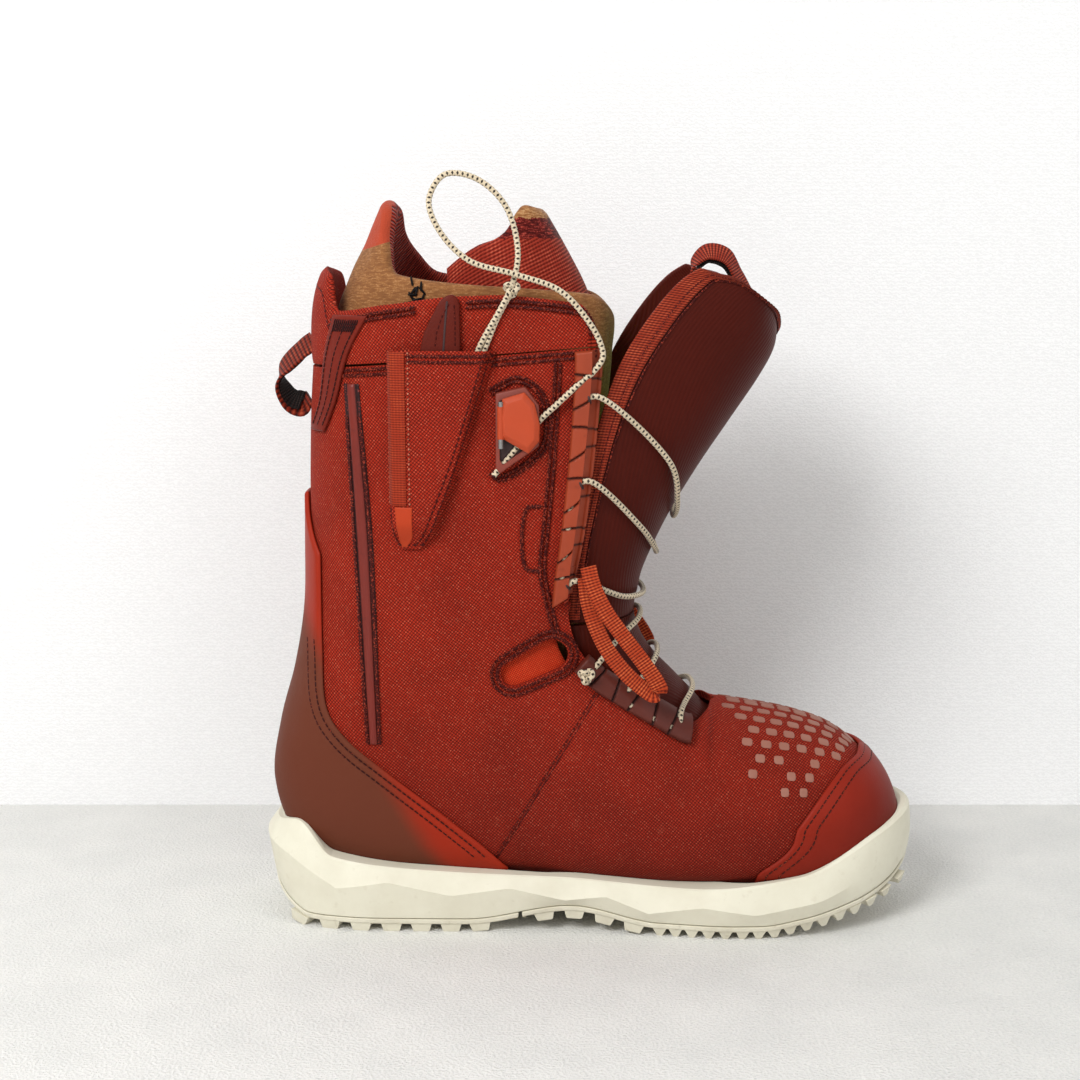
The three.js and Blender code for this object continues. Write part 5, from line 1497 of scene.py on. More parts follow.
loop_path = smooth_path([(x, -29, z) for x, z in [(177, 300), (171.5, 310), (165.5, 319.5), (157, 321.3),
        (151, 316), (150, 308)]], 0.6)
piece(strap("tongue_loop_tape", loop_path, (0.2, 1, 0.85), 11, 1.4), "tongue", red_tape,
      ["tongue_loop"], sharp=50)
inside = smooth_path([(x, -29, z) for x, z in [(174.9, 301), (169.7, 309), (164.5, 316.9), (157.6, 318.9),
        (153.4, 315), (152.2, 309)]], 0.6)
piece(strap("tongue_loop_inner_tape", inside, (0.2, 1, 0.85), 8.5, 0.9), "tongue", black_tape,
      sharp=50)

# ====================================================================================== inner boot
# A removable liner of 7 mm heat-mouldable foam, covered outside in beige felted knit, with an orange
# moulded panel on its rear lobe and ribbed red textile inside. Its own tongue has a beige tip, a
# fuzzy dark-red band and red ribbing below.

liner = Skin([
    (243.5, 47, 243.5, 45, 0.6, 0.6, 0, 0.5, 2, 2), (241, 58, 241.5, 38.5, 15, 16, 0, 0.5, 2, 3),
    (234, 69, 235, 34, 26, 28, 0, 0.5, 2, 3.5), (220, 79, 221, 29.5, 35, 36, 0, 0.52, 2, 4),
    (201, 85.5, 201, 28.5, 41.5, 39.5, 0, 0.55, 2, 4), (180, 84, 180, 28, 44.5, 41, 0, 0.6, 2.2, 4),
    (161, 85, 157, 28, 43.5, 39, 0, 0.6, 2.3, 4), (147.5, 95, 135, 28, 40.5, 36, 0, 0.58, 2.3, 4),
    (136, 106, 106, 28.5, 36.5, 32.5, 0, 0.56, 2.3, 4), (126, 118, 72, 30, 32, 30.5, 0, 0.54, 2.3, 3.8),
    (120, 131, 34, 31.5, 31, 30.5, 0, 0.52, 2.3, 3.5), (117, 144, -2, 34, 31, 31, 0, 0.5, 2.3, 3.2),
    (114, 156, -29, 47, 33, 33, 0, 0.48, 2.3, 2.8), (111.5, 168, -39, 70, 35.5, 35.5, 0, 0.46, 2.4, 2.5),
    (110.5, 181, -35.5, 97, 38, 38, 0, 0.45, 2.5, 2.4),
    (110, 197, -28, 126, 39.5, 39.5, 0, 0.45, 2.5, 2.3),
    (110, 217, -23, 158, 40.5, 40.5, 0, 0.45, 2.6, 2.3),
    (111.5, 242, -22.5, 203, 41, 41, 0, 0.45, 2.7, 2.3), (113.5, 266, -21, 247, 41, 41, 0, 0.45, 2.8, 2.3),
    (115, 289, -16.5, 288, 41, 41, 0, 0.45, 2.8, 2.3), (112, 304, -9, 309, 40.5, 40.5, 0, 0.45, 2.8, 2.3),
    (106, 318, 0, 328, 39, 39, 0, 0.45, 2.8, 2.3), (99, 333, 8, 346, 36, 36, 0, 0.45, 2.8, 2.3),
])
LINER_WALL = 7.0

felted, given, result = effect(
    "felted knit",
    {"Vector": "Vector", "Colour": "Color", "Deep": "Color", "Pale": "Color"},
    {"Colour": "Color", "Height": "Float"},
)
stretched = drawn_out(felted, given["Vector"], (300, 300, 1500))
knit = node(felted, "ShaderNodeTexNoise", {"Vector": stretched, "Scale": 1, "Detail": 3,
                                           "Distortion": 0.6}).outputs[0]
hair = noise(felted, given["Vector"], 1500, 3)
stain = noise(felted, given["Vector"], 45, 4)
fold = noise(felted, drawn_out(felted, given["Vector"], (230, 230, 40)), 1, 2)
tone = blend_colours(felted, ramp(felted, knit, 0.36, 0.60), given["Deep"], given["Colour"])
tone = blend_colours(felted, ramp(felted, times(felted, hair, knit), 0.26, 0.42), tone, given["Pale"])
tone = blend_colours(felted, ramp(felted, stain, 0.50, 0.75, 0.45), tone, given["Deep"])
felted.links.new(tone, result.inputs["Colour"])
felted.links.new(times_plus(felted, fold, 0.8, times_plus(felted, knit, 0.6, times(felted, hair, 0.3))),
                 result.inputs["Height"])


def over_felt(tree, base, height, mask, colour, other_height):
    mixed = blend_colours(tree, mask, base, colour)
    return mixed, node(tree, "ShaderNodeMix", {0: mask, 2: height, 3: other_height}).outputs[0]


liner_finish, tree, shader = new_material("beige felted liner", 0.85, sheen=0.1, specular=0.12)
where = object_place(tree)
spot = separate(tree, where)
sides = separate(tree, map_of(tree, "sides"))
beige = use(tree, felted, Vector=where, Colour=rgb("906038"), Deep=rgb("7C5030"), Pale=rgb("A87C52"))
orange = use(tree, coated, Vector=where, Colour=rgb("A8422A"), Worn=rgb("7E2A1A"), Fade=0.0, Grain=900.0)
ribs = use(tree, taped, Vector=map_of(tree, "laid"), Rib=0.0026, Colour=rgb("9A2C1C"), Gap=rgb("4A0C0A"),
           Glint=rgb("D87058"))
edge_noise = noise(tree, where, 300, 2)
lobe_line = times_plus(tree, spot[0], 0.30, 0.3225)
above = math_node(tree, "GREATER_THAN", spot[2], lobe_line)
rear = math_node(tree, "LESS_THAN", spot[0], 0.030)
lobe_mask = times(tree, above, rear)
outside = math_node(tree, "GREATER_THAN", sides[1], 0.5)
ragged = times_plus(tree, edge_noise, 0.25, sides[1])
inner_mask = math_node(tree, "LESS_THAN", ragged, 0.42)
colour, height = over_felt(tree, beige["Colour"], beige["Height"], times(tree, lobe_mask, outside),
                           orange["Colour"], orange["Height"])
colour, height = over_felt(tree, colour, height, inner_mask, ribs["Colour"], times(tree, ribs["Height"], 1.6))
tree.links.new(colour, shader.inputs["Base Color"])
relief(tree, shader, height, 0.0006, 0.8)

liner_top = steady([(0, 22), (0.1, 21.7), (0.2, 20.9), (0.28, 20.2), (0.5, 20), (0.8, 19.9), (1, 19.2)])
medial_top = steady([(0, 22), (0.1, 21.85), (0.2, 21.3), (0.3, 20.7), (0.38, 20.2), (0.55, 20), (0.8, 19.9),
                     (1, 19.2)])


def liner_uv(a, b):
    v = -1 + 2 * b
    low = 0.35 + 11.65 * a / 0.4
    top = np.where(v < 0, liner_top(np.abs(v)), medial_top(np.abs(v)))
    high = 12 + (top - 12) * (a - 0.4) / 0.6
    return np.where(a < 0.4, low, high), v


def liner_swell(a, b):
    """The cuff is plump, with soft dents where the lining is sewn down."""
    v = np.abs(2 * b - 1)
    rise = np.clip((a - 0.72) / 0.28, 0, 1)
    return 1.0 * rise * (0.6 + 0.4 * np.sin(v * 40)
                         * np.exp(-((a - 0.9) / 0.08) ** 2)) - 0.4 * np.exp(-((a - 0.93) / 0.02) ** 2)


rows = np.concatenate([np.linspace(0, 0.4, 40, endpoint=False), np.linspace(0.4, 0.94, 60, endpoint=False),
                       0.94 + 0.06 * (1 - (1 - np.linspace(0, 1, 22)) ** 2.0)])
columns = np.linspace(0, 1, 201)
inner_boot = sheet_on("liner_felt", on_skin(liner, liner_uv, False), rows, columns, lambda a, b: -LINER_WALL
                      - 0.8 * np.clip((a - 0.6) / 0.2, 0, 1),
                      liner_swell, (0, 4.2, 0, 0), closed_below=2.0, sides=True)
piece(inner_boot, "boot", liner_finish, ["liner_boot"], sharp=60)

spot_thread = thread_finish("black bar stitches", "0C0A0A", "3A3230", 0.15)
centre_u, centre_v = liner.place(np.array(24.0), np.array(302.0), LATERAL)
bars, run, up = [], [], []
for k in range(14):
    du, dv = 0.34 * math.sin(k * 2.4) * (0.3 + k / 14), 0.016 * math.cos(k * 1.7) * (0.4 + k / 16)
    u, v = np.array(centre_u + du), np.array(centre_v + dv)
    n = liner.normal(u, v)
    bars.append(liner.point(u, v) + n * 1.0)
    up.append(n)
    run.append((math.cos(k * 1.3), 0.1, math.sin(k * 1.3)))
made = set_out("liner_bar_stitches", stitch_shape, np.array(bars), np.array(run), np.array(up),
               (4.6, 1.1, 0.9), spot_thread)
piece(made, "boot", spot_thread, sharp=60)

tip_finish, tree, shader = new_material("banded liner tongue", 0.85, sheen=0.1, specular=0.12)
where = object_place(tree)
z = separate(tree, where)[2]
ragged = times_plus(tree, noise(tree, where, 420, 3), 0.004, math_node(tree, "SUBTRACT", z, 0.002))
beige = use(tree, felted, Vector=where, Colour=rgb("A8764A"), Deep=rgb("80532F"), Pale=rgb("C49E70"))
band = use(tree, felted, Vector=where, Colour=rgb("661812"), Deep=rgb("38090A"), Pale=rgb("B04A3E"))
ribs = use(tree, taped, Vector=map_of(tree, "laid"), Rib=0.0017, Colour=rgb("963020"), Gap=rgb("5E160E"),
           Glint=rgb("CC6A50"))
is_band = math_node(tree, "LESS_THAN", ragged, 0.3365)
is_rib = math_node(tree, "LESS_THAN", ragged, 0.3275)
colour, height = over_felt(tree, beige["Colour"], beige["Height"], is_band, band["Colour"], band["Height"])
colour, height = over_felt(tree, colour, height, is_rib, ribs["Colour"], ribs["Height"])
tree.links.new(colour, shader.inputs["Base Color"])
relief(tree, shader, height, 0.0005, 0.8)
tip_top = steady([(0, 22), (0.35, 21.95), (0.6, 21.6), (0.8, 21.0), (1, 20.2)])


TIP_OUT = -LINER_WALL - 2.4


def tip_uv(a, b):
    return 10.4 + (tip_top(np.abs(2 * b - 1)) - 10.4) * a, round_front(0.3 + 0.28 * eased(a, 0.45, 0.95), b)


def tip_place(a, b):
    """On the liner's skin, but drawn up and leant back above the cuff."""
    u, v = tip_uv(a, b)
    p, n = liner.point(u, v), liner.normal(u, v)
    over = np.maximum(0, p[..., 2] - 300)
    p[..., 2] += 0.40 * over
    p[..., 0] -= 0.20 * over + 0.003 * over ** 2
    return p, n, None


tip = sheet_on("liner_tongue_felt", tip_place, spaced(90, 230, 0, 4), spaced(60, 80, 3, 3), TIP_OUT - 7.0,
               lambda a, b: TIP_OUT + 0.8 * np.sin(np.pi * b), (0, 4.5, 3, 3))
piece(tip, "inner_tongue", tip_finish, ["liner_tongue"], sharp=60)
bed_finish = cloth_finish("dark insole cloth", "3A2A26", "120C0A", "8A6A5C", 0.0014, 0.3, 0.3, 0.1,
                          source="Object")
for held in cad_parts["footbed"].material_slots:
    held.material = bed_finish

# ============================================================================ lace rails and eyelets
# Each rail is one strip of smooth polyamide, moulded as a chain of segments with slanted grooves
# between them so that it can bend. The laces run inside it and leave by dark eyelets in its front edge.

RAIL_TOP = RAIL_GAP + RAIL_THICK


def marked_finish(name, colour, mark, roughness=0.42, coat=0.05, deep=0.00012, grain=1300.0, glint=None):
    """Moulded plastic or leather that takes a second colour where the piece's second map says so: painted
    shade in the grooves of the rails, and the rib's own dark borders.
    """
    material, tree, shader = new_material(name, roughness, coat=coat, specular=0.3)
    place = object_place(tree)
    marks = separate(tree, map_of(tree, "sides"))[0]
    out = use(tree, moulded, Vector=place, Colour=rgb(colour), Soiled=rgb(mark), Soil=0.25, Grain=grain)
    groove_shade_and_border = rgb(mark)
    if glint:
        sparkle = noise(tree, place, 1100, 2)
        groove_shade_and_border = blend_colours(tree, ramp(tree, sparkle, 0.58, 0.72), rgb(mark), rgb(glint))
    # The second colour: on the rails it is painted shade, nearly black, in the grooves; on the rib it is its
    # dark borders.
    tree.links.new(blend_colours(tree, marks, out["Colour"], groove_shade_and_border), shader.inputs["Base Color"])
    tree.links.new(times_plus(tree, marks, 0.2, out["Roughness"]), shader.inputs["Roughness"])
    relief(tree, shader, out["Height"], deep, 0.4)
    return material


# The rails' second colour is painted shade in the grooves between their segments.
rail_finish = marked_finish("orange-brown polyamide", "94381A", "1E0705", 0.42)
dark_rail = marked_finish("dark brown polyamide", "561E12", "1A0605", 0.42)
eyelet_finish = moulded_finish("dark eyelet lining", "240A0A", "5A2A22", 0.3, 1500, 0.0001)


def grooves(from_u, to_u, width, pitch, slant):
    """How much of a groove is at a place on a rail: 1 in the middle of one, 0 away from them."""
    walk = np.linspace(from_u, to_u, 200)
    v = upper.behind_edge(walk, width / 2)
    p = upper.point(walk, v)
    run = walked_along(p)

    def share(a, b):
        s = np.interp(from_u + (to_u - from_u) * a, walk, run)
        best = np.full(np.shape(s), 99.0)
        count = int(run[-1] / pitch)
        for k in range(1, count + 1):
            lean = slant if k % 2 else -slant
            best = np.minimum(best, np.abs(s - k * run[-1] / (count + 1) - lean * (b - 0.5) * width))
        return np.clip(1.35 - best / 0.62, 0, 1)
    return share, run[-1]


def lace_tunnel(name, route, radius):
    path = smooth_path(route, 2.2)
    _, e1, e2 = frames(path)
    turn = np.arange(12) / 12 * 2 * np.pi
    points = path[:, None] + radius * (np.cos(turn)[None, :, None] * e1[:, None] + np.sin(turn)[None, :, None]
                                       * e2[:, None])
    return body_mesh(name, points.reshape(-1, 3), tube_faces(len(path), 12))


def ring_mesh(name, centre, axis, radius, thick, around=28, across=10):
    """A round ring about an axis."""
    axis = unit(np.asarray(axis, float))
    e1 = unit(np.cross(axis, (0, 0, 1)))
    e2 = np.cross(axis, e1)
    turn, roll = np.meshgrid(np.arange(around) / around * 2 * np.pi, np.arange(across) / across * 2 * np.pi,
                             indexing="ij")
    r = radius + thick * np.cos(roll)
    points = (np.asarray(centre) + (r * np.cos(turn))[..., None] * e1 + (r * np.sin(turn))[..., None] * e2
              + (thick * np.sin(roll))[..., None] * axis)
    faces = [(i * across + j, (i + 1) % around * across + j, (i + 1) % around * across + (j + 1) % across,
              i * across + (j + 1) % across)
             for i in range(around) for j in range(across)]
    return body_mesh(name, points.reshape(-1, 3), faces)


eyelets = {"upper": (20.1, 18.4, 15.6), "lower": (12.15, 10.9, 9.4)}
for part, low_u, high_u, width, pitch, slant in (("upper", 15.1, 21.2, 9.5, 12.6, 0.42),
        ("lower", 8.9, 12.6, 8.0, 11.5, 0.3)):
    for label, side in SIDES:
        def rail_uv(a, b):
            u = low_u + (high_u - low_u) * a
            v_back = upper.behind_edge(u, width)
            return u, side * (1 + (v_back - 1) * b)
        share, length = grooves(low_u, high_u, width, pitch, slant)
        crown = lambda a, b: RAIL_TOP - 0.5 * (2 * b - 1) ** 4 - 1.3 * share(a, b)
        rail = sheet_on(f"{part}_rail_{label}_moulding", on_skin(upper, rail_uv, False),
                        spaced(int(length / 0.5), length, 1.2, 1.2),
                        spaced(20, width, 1.1, 1.1), RAIL_GAP * 0.4, crown, (1.2, 1.2, 1.1, 1.1), sides=share)
        cut(rail, lace_tunnel("lace room", upper_route if part == "upper" else lower_route, LACE / 2 + 0.45))
        if part == "upper":
            cut(rail, lace_tunnel("pull lace room", pull_routes[side], LACE / 2 + 0.45))
        piece(rail, "boot", rail_finish if part == "upper" else dark_rail, [f"{part}_rail_{label}"],
              sharp=32)
rings = []
for part in ("upper", "lower"):
    for u in eyelets[part]:
        for side in (LATERAL, MEDIAL):
            out = out_of_rail(u, 3, side) - on_rail(u, 4, side)
            rings.append(ring_mesh("ring", out_of_rail(u, -0.7, side), out, LACE / 2 + 0.75, 0.62))
piece(joined("rail_eyelets", *rings), "boot", eyelet_finish, sharp=60)

# ================================================================== pocket, pull handle and lace lock
# A cloth pocket on each side of the cuff holds a stiff leather pull handle. A ribbed rubber strip runs
# down its back edge, and the lace lock sits in front of it under a faceted flip-up cap.


def side_panel(name, side, low, high, back, front, rows, columns, inner, outer, rolled, cloth=True,
               sides=False):
    """A panel on the shell, drawn from the side."""
    back_x, front_x = steady(back), steady(front)

    def to_uv(a, b):
        z = low + (high - low) * a
        return upper.place(back_x(z) + (front_x(z) - back_x(z)) * b, z, side)
    return sheet_on(name, on_skin(upper, to_uv, cloth), rows, columns, inner, outer, rolled, sides=sides)


POCKET_WALL, POCKET_LIFT, LAID = 1.5, 5.2, 0.25


def pocket_lift(a, b):
    return eased(np.minimum(b, 1 - b), 0, 0.1) * eased(a, 0, 0.15) * POCKET_LIFT


strip_finish = tape_finish("ribbed rubber strip", "942C12", "661A0C", "B04C28", 0.0011, 0.00012, 0.05)
patch_finish = coated_finish("orange pocket patch", "A8381A", "7A2410", grain=1100)
dotted_thread = thread_finish("pale dotted stitches", "5E160C", "CC8468", 0.7)
pocket_thread = thread_finish("pocket seam thread", "400C08", "9A3624", 0.25)
POCKET_BACK = [(186, 19), (189, 15.6), (194, 13.6), (207, 12.5), (279, 12)]
POCKET_FRONT = [(186, 23), (188.5, 27.6), (194, 32), (207, 37.2), (225.4, 44), (279, 61)]
pocket_back, pocket_front = steady(POCKET_BACK), steady(POCKET_FRONT)


def pocket_across(z, share):
    return pocket_back(z) + (pocket_front(z) - pocket_back(z)) * share


def on_pocket(z, x, side, lift, step):
    """A line over the pocket's face."""
    u, v = upper.place(x, z, side)
    b = (x - pocket_back(z)) / (pocket_front(z) - pocket_back(z))
    n = upper.normal(u, v)
    rest = LAID + POCKET_WALL + pocket_lift((z - 187) / 91, b) + lift
    return line_of(upper.point(u, v) + n * rest[..., None], n, step)


def on_pocket_lift(low, high, reach, more=0.0):
    """How far a strip on the pocket stands off the shell. reach is its share of the pocket's width."""
    def lift(a, b):
        share = (low + (high - low) * a - 187) / 91
        return POCKET_WALL + LAID - 0.1 + pocket_lift(share, 0.02 + reach * b) + more
    return lift


for label, side in SIDES:
    shell = side_panel(f"pocket_cloth_{label}", side, 187, 278, POCKET_BACK, POCKET_FRONT,
                       spaced(80, 91, 1.5, 1.5), spaced(46, 40, 1.2, 1.2),
                       lambda a, b: LAID + pocket_lift(a, b), lambda a, b: LAID + POCKET_WALL
                       + pocket_lift(a, b), (1.5, 1.5, 1.2, 1.2))
    piece(shell, "boot", shell_finish, [f"pocket_{label}"])
    strip = side_panel(f"pocket_strip_{label}", side, 208, 277.4, [(208, 12.6), (278, 12.2)],
                       [(208, 21), (278, 21.2)], spaced(120, 70, 1, 1),
                       spaced(12, 9, 0.8, 0.8), on_pocket_lift(208, 277.4, 0.2),
                       on_pocket_lift(208, 277.4, 0.2, 1.0), (1, 1, 0.8, 0.8), False)
    piece(strip, "boot", strip_finish)
    low_patch = side_panel(f"pocket_patch_{label}", side, 188.2, 207.4,
                           [(188, 17.6), (194, 15.4), (207.4, 14)], [(188, 20.0), (194, 23), (207.4, 23.4)],
                           spaced(30, 20, 1, 1),
                           spaced(14, 8, 0.8, 0.8), on_pocket_lift(188.2, 207.4, 0.3),
                           on_pocket_lift(188.2, 207.4, 0.3, 0.7), (1, 1, 0.8, 0.8), False)
    piece(low_patch, "boot", patch_finish)
    z = np.linspace(209, 277, 60)
    dots = [on_pocket(z, np.full(60, x), side, 0.05, 2.3) for x in (11.6 + 0.9, 22.4)]
    stitched(f"pocket_dotted_stitches_{label}", dots, (0.95, 0.8, 0.7), dotted_thread)
    z = np.linspace(190, 276, 80)
    runs = [on_pocket(z, pocket_front(z) - off, side, -0.05, 3.0) for off in (2.0, 4.6)]
    z = np.linspace(189.5, 206, 20)
    runs.append(on_pocket(z, pocket_back(z) + 1.6, side, -0.05, 3.0))
    across = np.linspace(0.12, 0.88, 20)
    z = np.full(20, 189.4)
    runs.append(on_pocket(z, pocket_across(z, across), side, -0.05, 3.0))
    stitched(f"pocket_stitches_{label}", runs, (2.4, 0.75, 0.6), pocket_thread)
    across = np.linspace(0.22, 0.985, 40)
    z = np.full(40, 275.6)
    top = [on_pocket(z + dz, pocket_across(z, across), side, -0.2, CORD_PITCH) for dz in (0, -2.6)]
    stitched(f"pocket_edge_cord_{label}", top, (2.4, 1.1, 0.9), edge_thread, 35)


def plate(name, outline, near_y, far_y, side, bevel, rings=(), foot=0.0):
    """A flat plate between two planes, with rounded edges. Each ring is (share of the way out, inset)."""
    outline = np.array(outline, float)
    middle = outline.mean(0)
    levels = [(0, foot), *rings] if rings else [(0, 0), (1, 0)]
    points, n = [], len(outline)
    before, after = np.roll(outline, 1, 0), np.roll(outline, -1, 0)
    turned = lambda e: np.stack([e[:, 1], -e[:, 0]], -1) / np.linalg.norm(e, axis=1, keepdims=True)
    n1, n2 = turned(outline - before), turned(after - outline)
    bisector = (n1 + n2) / (1 + np.sum(n1 * n2, 1, keepdims=True))
    if np.sum(bisector * (outline - middle)) < 0:
        bisector = -bisector
    for share, inset in levels:
        y = side * (near_y + (far_y - near_y) * share)
        ring = outline - bisector * inset
        points += [(x, y, z) for x, z in ring]
    made = body_mesh(name, points, tube_faces(len(levels), n))
    if bevel:
        rounded = made.modifiers.new("rounded", "BEVEL")
        rounded.width, rounded.segments, rounded.angle_limit = bevel * 0.001, 3, math.radians(20)
        settle(made)
    return made


def barrel(name, x, y, low, high, radius, around=24):
    turn = np.arange(around) / around * 2 * np.pi
    rings = ((low, radius - 0.3), (low + 0.3, radius), (high - 0.3, radius), (high, radius - 0.3))
    points = [(x + r * math.cos(t), y + r * math.sin(t), z) for z, r in rings for t in turn]
    return body_mesh(name, points, tube_faces(4, around))


handle_finish = coated_finish("brown-red handle leather", "561508", "6E2414", grain=1000, deep=0.0002)
groove_finish = moulded_finish("dark handle groove", "2A0C0C", "5A2420", 0.3, 1600, 0.0001)
HANDLE_OUTLINE = [(31, 236), (40.5, 236), (42.3, 247), (44.6, 262), (44.8, 282), (44.6, 298.5), (43.6, 301.6),
                  (41.4, 303), (38.6, 302.4),
                  (35.6, 300), (31.6, 292.5), (28.6, 286.5), (26.8, 279), (28.4, 258)]
HANDLE_IN, HANDLE_OUT = 53.3, 56.1
cap_plastic = moulded_finish("orange-red lock cap", "B03E16", "7E2A10", 0.15, 1500, 0.00006, coat=0.12,
                             specular=0.35)
bezel_finish = moulded_finish("dusty red bezel", "7E3020", "4A1810", 0.3, 1300, 0.0001)
recess_finish = moulded_finish("dark lock recess", "2C0F0D", "14080A", 0.4, 1500, 0.0002)
BEZEL = [(60.4, 225.6), (62.2, 222.8), (80, 235.2), (80, 253.6), (73.8, 262), (60.4, 259)]
CAP = [(63.6, 256.8), (61.6, 248.4), (62.6, 239.4), (75.2, 232.0), (80.2, 237.8), (80.4, 245.4),
       (78.0, 254.6), (73.4, 259.8)]
BEZEL_IN, BEZEL_OUT, CAP_OUT = 52.6, 58.0, 61.6
HINGE_X, HINGE_Y, HINGE_LOW, HINGE_HIGH = 62.8, 60.2, 234.5, 255.5
for label, side in SIDES:
    held = plate(f"pull_handle_{label}", HANDLE_OUTLINE, HANDLE_IN, HANDLE_OUT, side, 0.9)
    piece(held, f"handle_{label}", handle_finish, [f"lace_handle_{label}"], sharp=50)
    line = np.array([(36.4, side * (HANDLE_OUT + 0.02), z)
                     for z in np.linspace(250, 300, 60)]) + np.outer(np.linspace(0, 1, 60) ** 2, (2.6, 0, 0))
    piece(strap(f"pull_handle_groove_{label}", line, (1, 0, 0), 0.9, 0.5), f"handle_{label}",
          groove_finish, sharp=60)
    rim = [line_of(np.array([(x, side * HANDLE_OUT, z) for x, z in ring]),
                   np.tile((0, side, 0.0), (len(ring), 1)), 2.5)
           for ring in ([(33.6, 281), (34.2, 286), (36.6, 293), (39.4, 298)],
                        [(42.4, 281), (42.5, 290), (42.2, 297.5)])]
    stitched(f"pull_handle_stitches_{label}", rim, (1.8, 0.55, 0.4), pocket_thread, body=f"handle_{label}")

    bezel = plate(f"lock_bezel_{label}", BEZEL, BEZEL_IN, BEZEL_OUT, side, 0.7)
    inner = np.array(BEZEL)
    centre = inner.mean(0)
    cut(bezel, plate("bezel hollow", centre + (inner - centre) * 0.80, BEZEL_OUT - 2.2, BEZEL_OUT + 2, side,
                     0),
        lace_tunnel("lock lace room", pull_routes[side], LACE / 2 + 0.5))
    piece(bezel, "boot", bezel_finish, [f"lock_housing_{label}"], sharp=35)
    floor = plate(f"lock_recess_{label}", centre + (inner - centre) * 0.78, BEZEL_OUT - 2.3, BEZEL_OUT - 1.7,
                  side, 0)
    cut(floor, lace_tunnel("recess lace room", pull_routes[side], LACE / 2 + 0.5))
    piece(floor, "boot", recess_finish, sharp=35)
    cap_plate = plate(f"lock_cap_{label}", CAP, BEZEL_OUT + 0.4, CAP_OUT, side, 0.2,
                      ((0.2, 0), (0.5, 0.15), (0.96, 2.3), (1, 2.6)), 1.3)
    knuckle = barrel("knuckle", HINGE_X, side * (HINGE_Y - 0.4), HINGE_LOW + 4, HINGE_HIGH - 2, 1.6)
    piece(joined(f"lock_cap_{label}_faceted", cap_plate, knuckle), f"cover_{label}", cap_plastic,
          [f"lock_cover_{label}"], sharp=18)
    border = [(58.6, 222.5), (62.0, 219.9), (82.2, 234.2), (82.6, 254.4), (77.5, 262), (70, 265),
              (63.5, 262.6), (58.6, 259.5)]
    edge_cord(f"lock_border_cord_{label}", [side_line(border, side, CORD_PITCH)], 2.0)

# ===================================================================================== straps and loops
# A ribbed channel runs up each side behind the pocket. Leather straps hold the rear pull loop of
# coarse webbing, and a folded webbing tab hangs from the lower end of each upper rail.

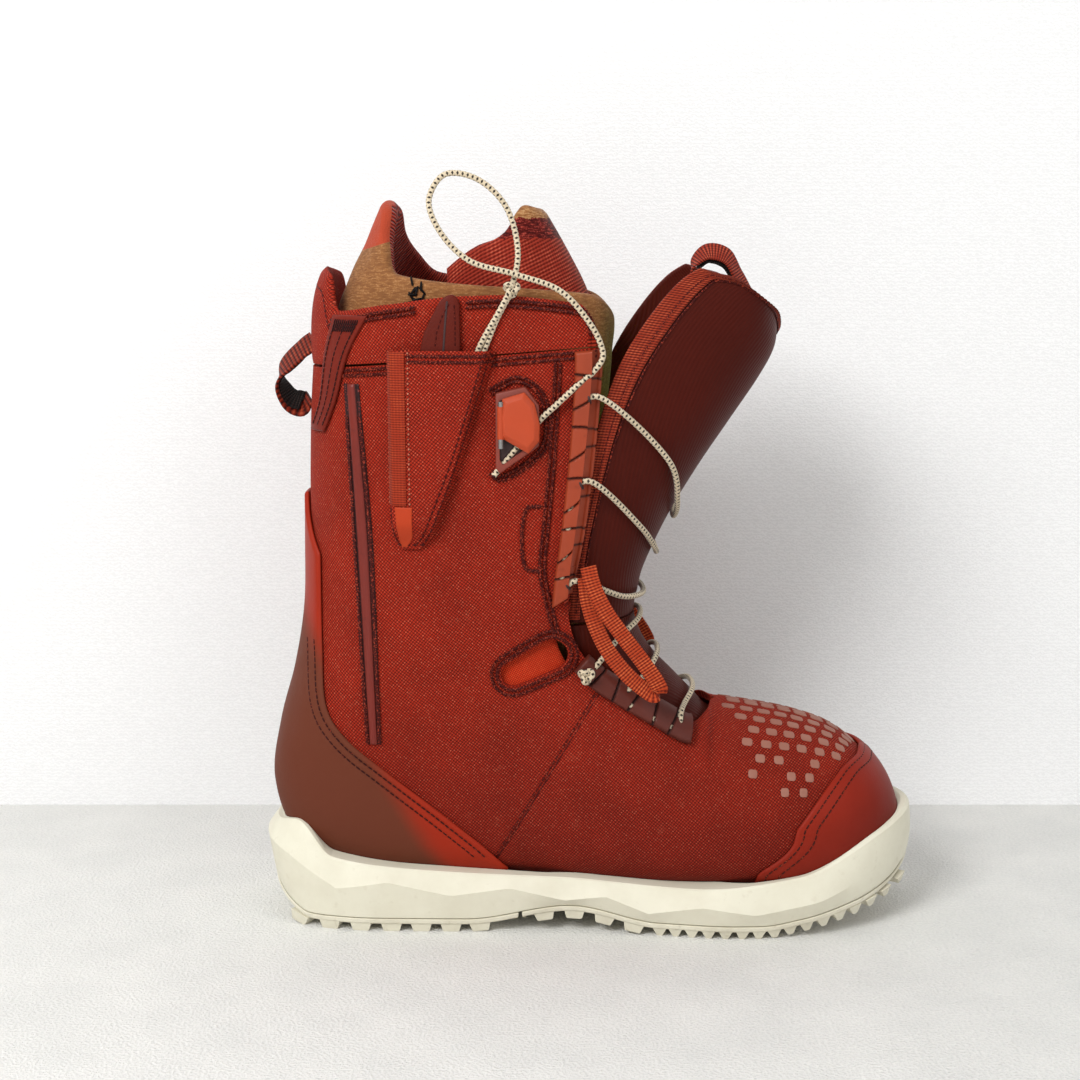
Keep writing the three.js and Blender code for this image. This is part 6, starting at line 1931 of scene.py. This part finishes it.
rib_finish = marked_finish("glossy rib with glitter borders", "701E12", "220606", 0.4, 0.12, glint="8A3430")
strap_finish = coated_finish("glossy strap leather", "6A1E12", "8E3422", grain=1000, deep=0.00015)
strap_thread = thread_finish("dark strap thread", "240A0A", "6E2A24", 0.25)
RIB_BACK, RIB_FRONT = [(90, -1), (181, -5.4), (262, -9.1)], [(90, 6), (181, 4), (262, -1.9)]
STRAP_BACK = [(239.2, -25.4), (253.6, -20.5), (274.3, -17.8), (294, -12.8)]
STRAP_FRONT = [(239.2, -18.4), (253.6, -12.6), (274.3, -6.7), (294, 3.7)]
for label, side in SIDES:
    def rib_height(a, b):
        middle = np.clip(1 - np.abs(b - 0.5) / 0.26, 0, 1)
        borders = np.exp(-((b - 0.08) / 0.06) ** 2) + np.exp(-((b - 0.92) / 0.06) ** 2)
        return 0.55 + 1.25 * np.sqrt(middle * (2 - middle)) + 0.35 * borders
    rib = side_panel(f"seam_rib_{label}_channel", side, 93, 262, RIB_BACK, RIB_FRONT,
                     spaced(150, 169, 1.5, 1.5), spaced(40, 8, 0.5, 0.5),
                     0.15, rib_height, (1.5, 1.5, 0.5, 0.5), False,
                     sides=lambda a, b: np.clip((np.abs(b - 0.5) - 0.22) / 0.05, 0, 1))
    piece(rib, "boot", rib_finish, [f"seam_rib_{label}"], sharp=40)
    back_x, front_x = steady(RIB_BACK), steady(RIB_FRONT)
    lines = []
    for share in (0.10, 0.90):
        z = np.linspace(94, 261, 60)
        lines.append(side_line(np.stack([back_x(z) + (front_x(z) - back_x(z)) * share, z], -1)[::6], side,
                               CORD_PITCH, 0.75))
    stitched(f"seam_rib_cord_{label}", lines, (2.4, 1.2, 0.8), edge_thread, 35)

    held = side_panel(f"loop_strap_{label}_leather", side, 239, 293, STRAP_BACK, STRAP_FRONT,
                      spaced(60, 55, 1.5, 1.5), spaced(24, 11, 1, 1),
                      0.3, lambda a, b: 2.3 + 0.3 * np.sin(np.pi * b), (1.5, 1.5, 1, 1), False)
    piece(held, "boot", strap_finish, [f"loop_strap_{label}"], sharp=40)
    back_x, front_x = steady(STRAP_BACK), steady(STRAP_FRONT)
    z = np.linspace(243, 291, 40)
    lines = [side_line(np.stack([back_x(z) + (front_x(z) - back_x(z)) * share, z], -1)[::4], side, 2.6, 2.35)
             for share in (0.16, 0.5, 0.84)]
    stitched(f"loop_strap_stitches_{label}", lines, (2.3, 0.7, 0.6), strap_thread)
    bar_z = np.repeat([286.5, 288.2, 289.9], 12)
    bar_x = np.concatenate([np.linspace(back_x(q) + 2.5, front_x(q) - 2.5, 12)
                            for q in (286.5, 288.2, 289.9)])
    u, v = upper.place(bar_x, bar_z, side)
    n = upper.normal(u, v)
    bars = [(upper.point(u, v) + n * 2.35, np.tile((0.3, 0, 1.0), (len(u), 1)), n)]
    stitched(f"loop_strap_bartack_{label}", bars, (2.4, 0.8, 0.7), strap_thread)

    # The tab: one tape that hangs in a bow to a fold and goes back up behind itself, with a slit between.
    outer_run = [(102.4, 179.4), (104.6, 171), (110, 159.5), (118.4, 147.4), (127.4, 135.4), (134.6, 124.6)]
    inner_run = [(129.4, 120.8), (120.4, 128.6), (111.8, 139.6), (105.8, 152), (102.6, 163), (101.2, 174)]
    fold = [(136.0, 53.0, 120.6), (133.2, 52.3, 118.8)]
    points = [(x, 53.6 + 1.2 * math.sin(math.pi * k / 5), z) for k, (x, z) in enumerate(outer_run)] + fold
    points += [(x, 51.7 + 0.2 * k / 5, z) for k, (x, z) in enumerate(inner_run)]
    route = smooth_path(points, 0.7) * (1, side, 1)
    walk = unit(np.gradient(route, axis=0))
    flat = np.stack([walk[:, 2], 0 * walk[:, 0], -walk[:, 0]], -1)
    half = int(np.argmax(route[:, 0] - route[:, 2]))
    flat[half:] *= -1
    near_fold = np.abs(np.arange(len(route)) - half) < 14
    flat[near_fold] = unit(flat[half - 14] + flat[min(half + 14, len(flat) - 1)])
    for _ in range(6):
        flat[1:-1] = unit(flat[:-2] + 2 * flat[1:-1] + flat[2:])
    piece(strap(f"instep_tab_{label}_webbing", route, flat, 7.4, 1.1), "boot", orange_tape,
          [f"instep_tab_{label}"], sharp=50)

rear_path = [(-27.5, 279), (-33, 275), (-42.6, 265), (-43.4, 259), (-38.6, 250.6), (-33, 248.6), (-29.6, 252)]
coarse_tape = tape_finish("coarse rear webbing", "7A2412", "300A06", "B85838", 0.0021, 0.0005)
piece(strap("rear_loop_webbing", smooth_path([(x, 0, z) for x, z in rear_path], 0.7), (0, 1, 0.7), 17, 1.6),
      "boot", coarse_tape, ["rear_loop"], sharp=50)
inner_path = np.array([(x, 0, z) for x, z in rear_path])
inner_path = inner_path + (np.array((-35.5, 0, 262)) - inner_path) * 0.14
piece(strap("rear_loop_inner_webbing", smooth_path(inner_path[1:-1], 0.7), (0, 1, 0.7), 14, 0.8), "boot",
      black_tape, sharp=50)

# Knots in the laces: where the lower lace is tied off at its rail, and the slip knot above each pocket,
# from which the lace runs doubled into the pocket.


def knot(name, centre, size):
    t = np.linspace(0, 2 * np.pi, 120)
    loop = np.stack([np.sin(t) + 2 * np.sin(2 * t), -1.3 * np.sin(3 * t), np.cos(t) - 2 * np.cos(2 * t)],
                    -1) * size
    return piece(braided_cord(name, np.asarray(centre) + loop, LACE / 2 * 0.92), "boot", braid_finish,
                 sharp=80)


for label, side in SIDES:
    u = 12.3
    v = side * upper.behind_edge(u, 5)
    knot(f"tied_off_knot_{label}", upper.point(u, v) + upper.normal(u, v) * (RAIL_TOP + 2.4), 1.05)
knot("slip_knot_lateral", np.array(pull_routes[LATERAL][3]) + (0, 0, -1.5), 1.0)
doubled = smooth_path([(50.6, -54.0, 262), (52.8, -54.0, 271), (56.6, -54.0, 281), (61.6, -54.2, 293),
                       (68.2, -54.6, 305)], STRAND_STEP)
made = piece(braided_cord("doubled_lace_cord", doubled), "boot", braid_finish, sharp=80)
